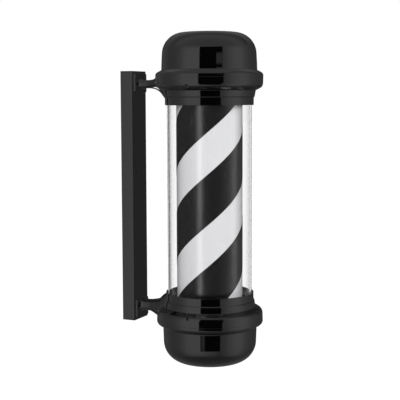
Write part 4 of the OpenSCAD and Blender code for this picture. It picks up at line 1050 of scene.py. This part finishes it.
def railOutline(inset=0.0):
    # the rail's outside seen from above: square at the wall, with rounded outer corners
    r = rail
    wide, front, corner = r["halfWide"] - inset, r["front"] - inset, r["corner"]
    points = [(r["back"] + inset, wide), (r["back"] + inset, -wide)]
    for cy, a0 in ((-wide + corner, -90), (wide - corner, 0)):
        for k in range(7):
            a = math.radians(a0 + 15 * k)
            points.append((front - corner + corner * math.cos(a), cy + corner * math.sin(a)))
    return guard(points, 3.0, 0.3)


def prism(name, outline, levels, material=None):
    # an upright prism whose outline is drawn again at each height, with its own inset
    return loft(name, [[(x, y, z) for x, y in outline(inset)] for z, inset in levels], material)


def buildRail():
    r = rail
    levels = [(-r["half"], 0.15), (-r["half"] + 0.15, 0), (-r["half"] + 0.6, 0), (r["half"] - 0.6, 0),
              (r["half"] - 0.15, 0), (r["half"], 0.15)]
    channel = prism("railChannel", railOutline, levels, railEnamel)
    inner = r["halfWide"] - r["wall"]
    hollow = [[(x, y, z) for x, y in ((-5, inner), (-5, -inner), (r["front"] - r["wall"], -inner),
                                      (r["front"] - r["wall"], inner))] for z in (-r["half"] - 5, r["half"] + 5)]
    cutters = [loft("railHollow", hollow)]
    for z in (-r["armZ"], r["armZ"]):
        for y, radius in ((0, r["leadBore"]), (-r["screwY"], r["screwBore"]), (r["screwY"], r["screwBore"])):
            cutters.append(rod("railBore", radius, (r["front"] - r["wall"] - 1, y, z), (r["front"] + 1, y, z)))
    combine(channel, cutters)
    fitPiece(channel, "pole", "rail", False)


def buildRailEnds():
    r, e = rail, railEnd
    for name, node, sign in (("railTopEnd", "rail_top_cap", 1), ("railBottomEnd", "rail_bottom_cap", -1)):
        low, high = r["half"], r["half"] + e["thick"]
        levels = [(low, 0.2), (low + 0.2, 0), (low + 0.5, 0), (high - e["edge"] - 0.3, 0), (high - e["edge"], 0)]
        levels += [(high - e["edge"] + e["edge"] * math.sin(a), e["edge"] * (1 - math.cos(a)))
                   for a in (0.4, 0.8, 1.2, math.pi / 2)]
        if sign < 0:
            levels = [(-z, inset) for z, inset in levels][::-1]
        lid = prism(name, railOutline, levels, railEnamel)
        inner, front = r["halfWide"] - r["wall"] - e["gap"], r["front"] - r["wall"] - e["gap"]
        plugEnds = sorted((sign * (low - e["plug"]), sign * (low + 1)))
        plug = loft("railPlug", [[(x, y, z) for x, y in ((e["plateFront"], inner), (e["plateFront"], -inner),
                                                         (front, -inner), (front, inner))] for z in plugEnds])
        combine(lid, [plug], "UNION")
        combine(lid, [rod("endBore", e["bore"], (e["screwX"], 0, sign * (low - e["plug"] - 1)),
                          (e["screwX"], 0, sign * (high + 1))),
                      rod("endSink", e["bore"], (e["screwX"], 0, sign * (high - e["sinkDepth"])),
                          (e["screwX"], 0, sign * (high + 0.001)), e["sink"])])
        fitPiece(lid, "pole", node, False)


buildRail()
buildRailEnds()
print("rail built")
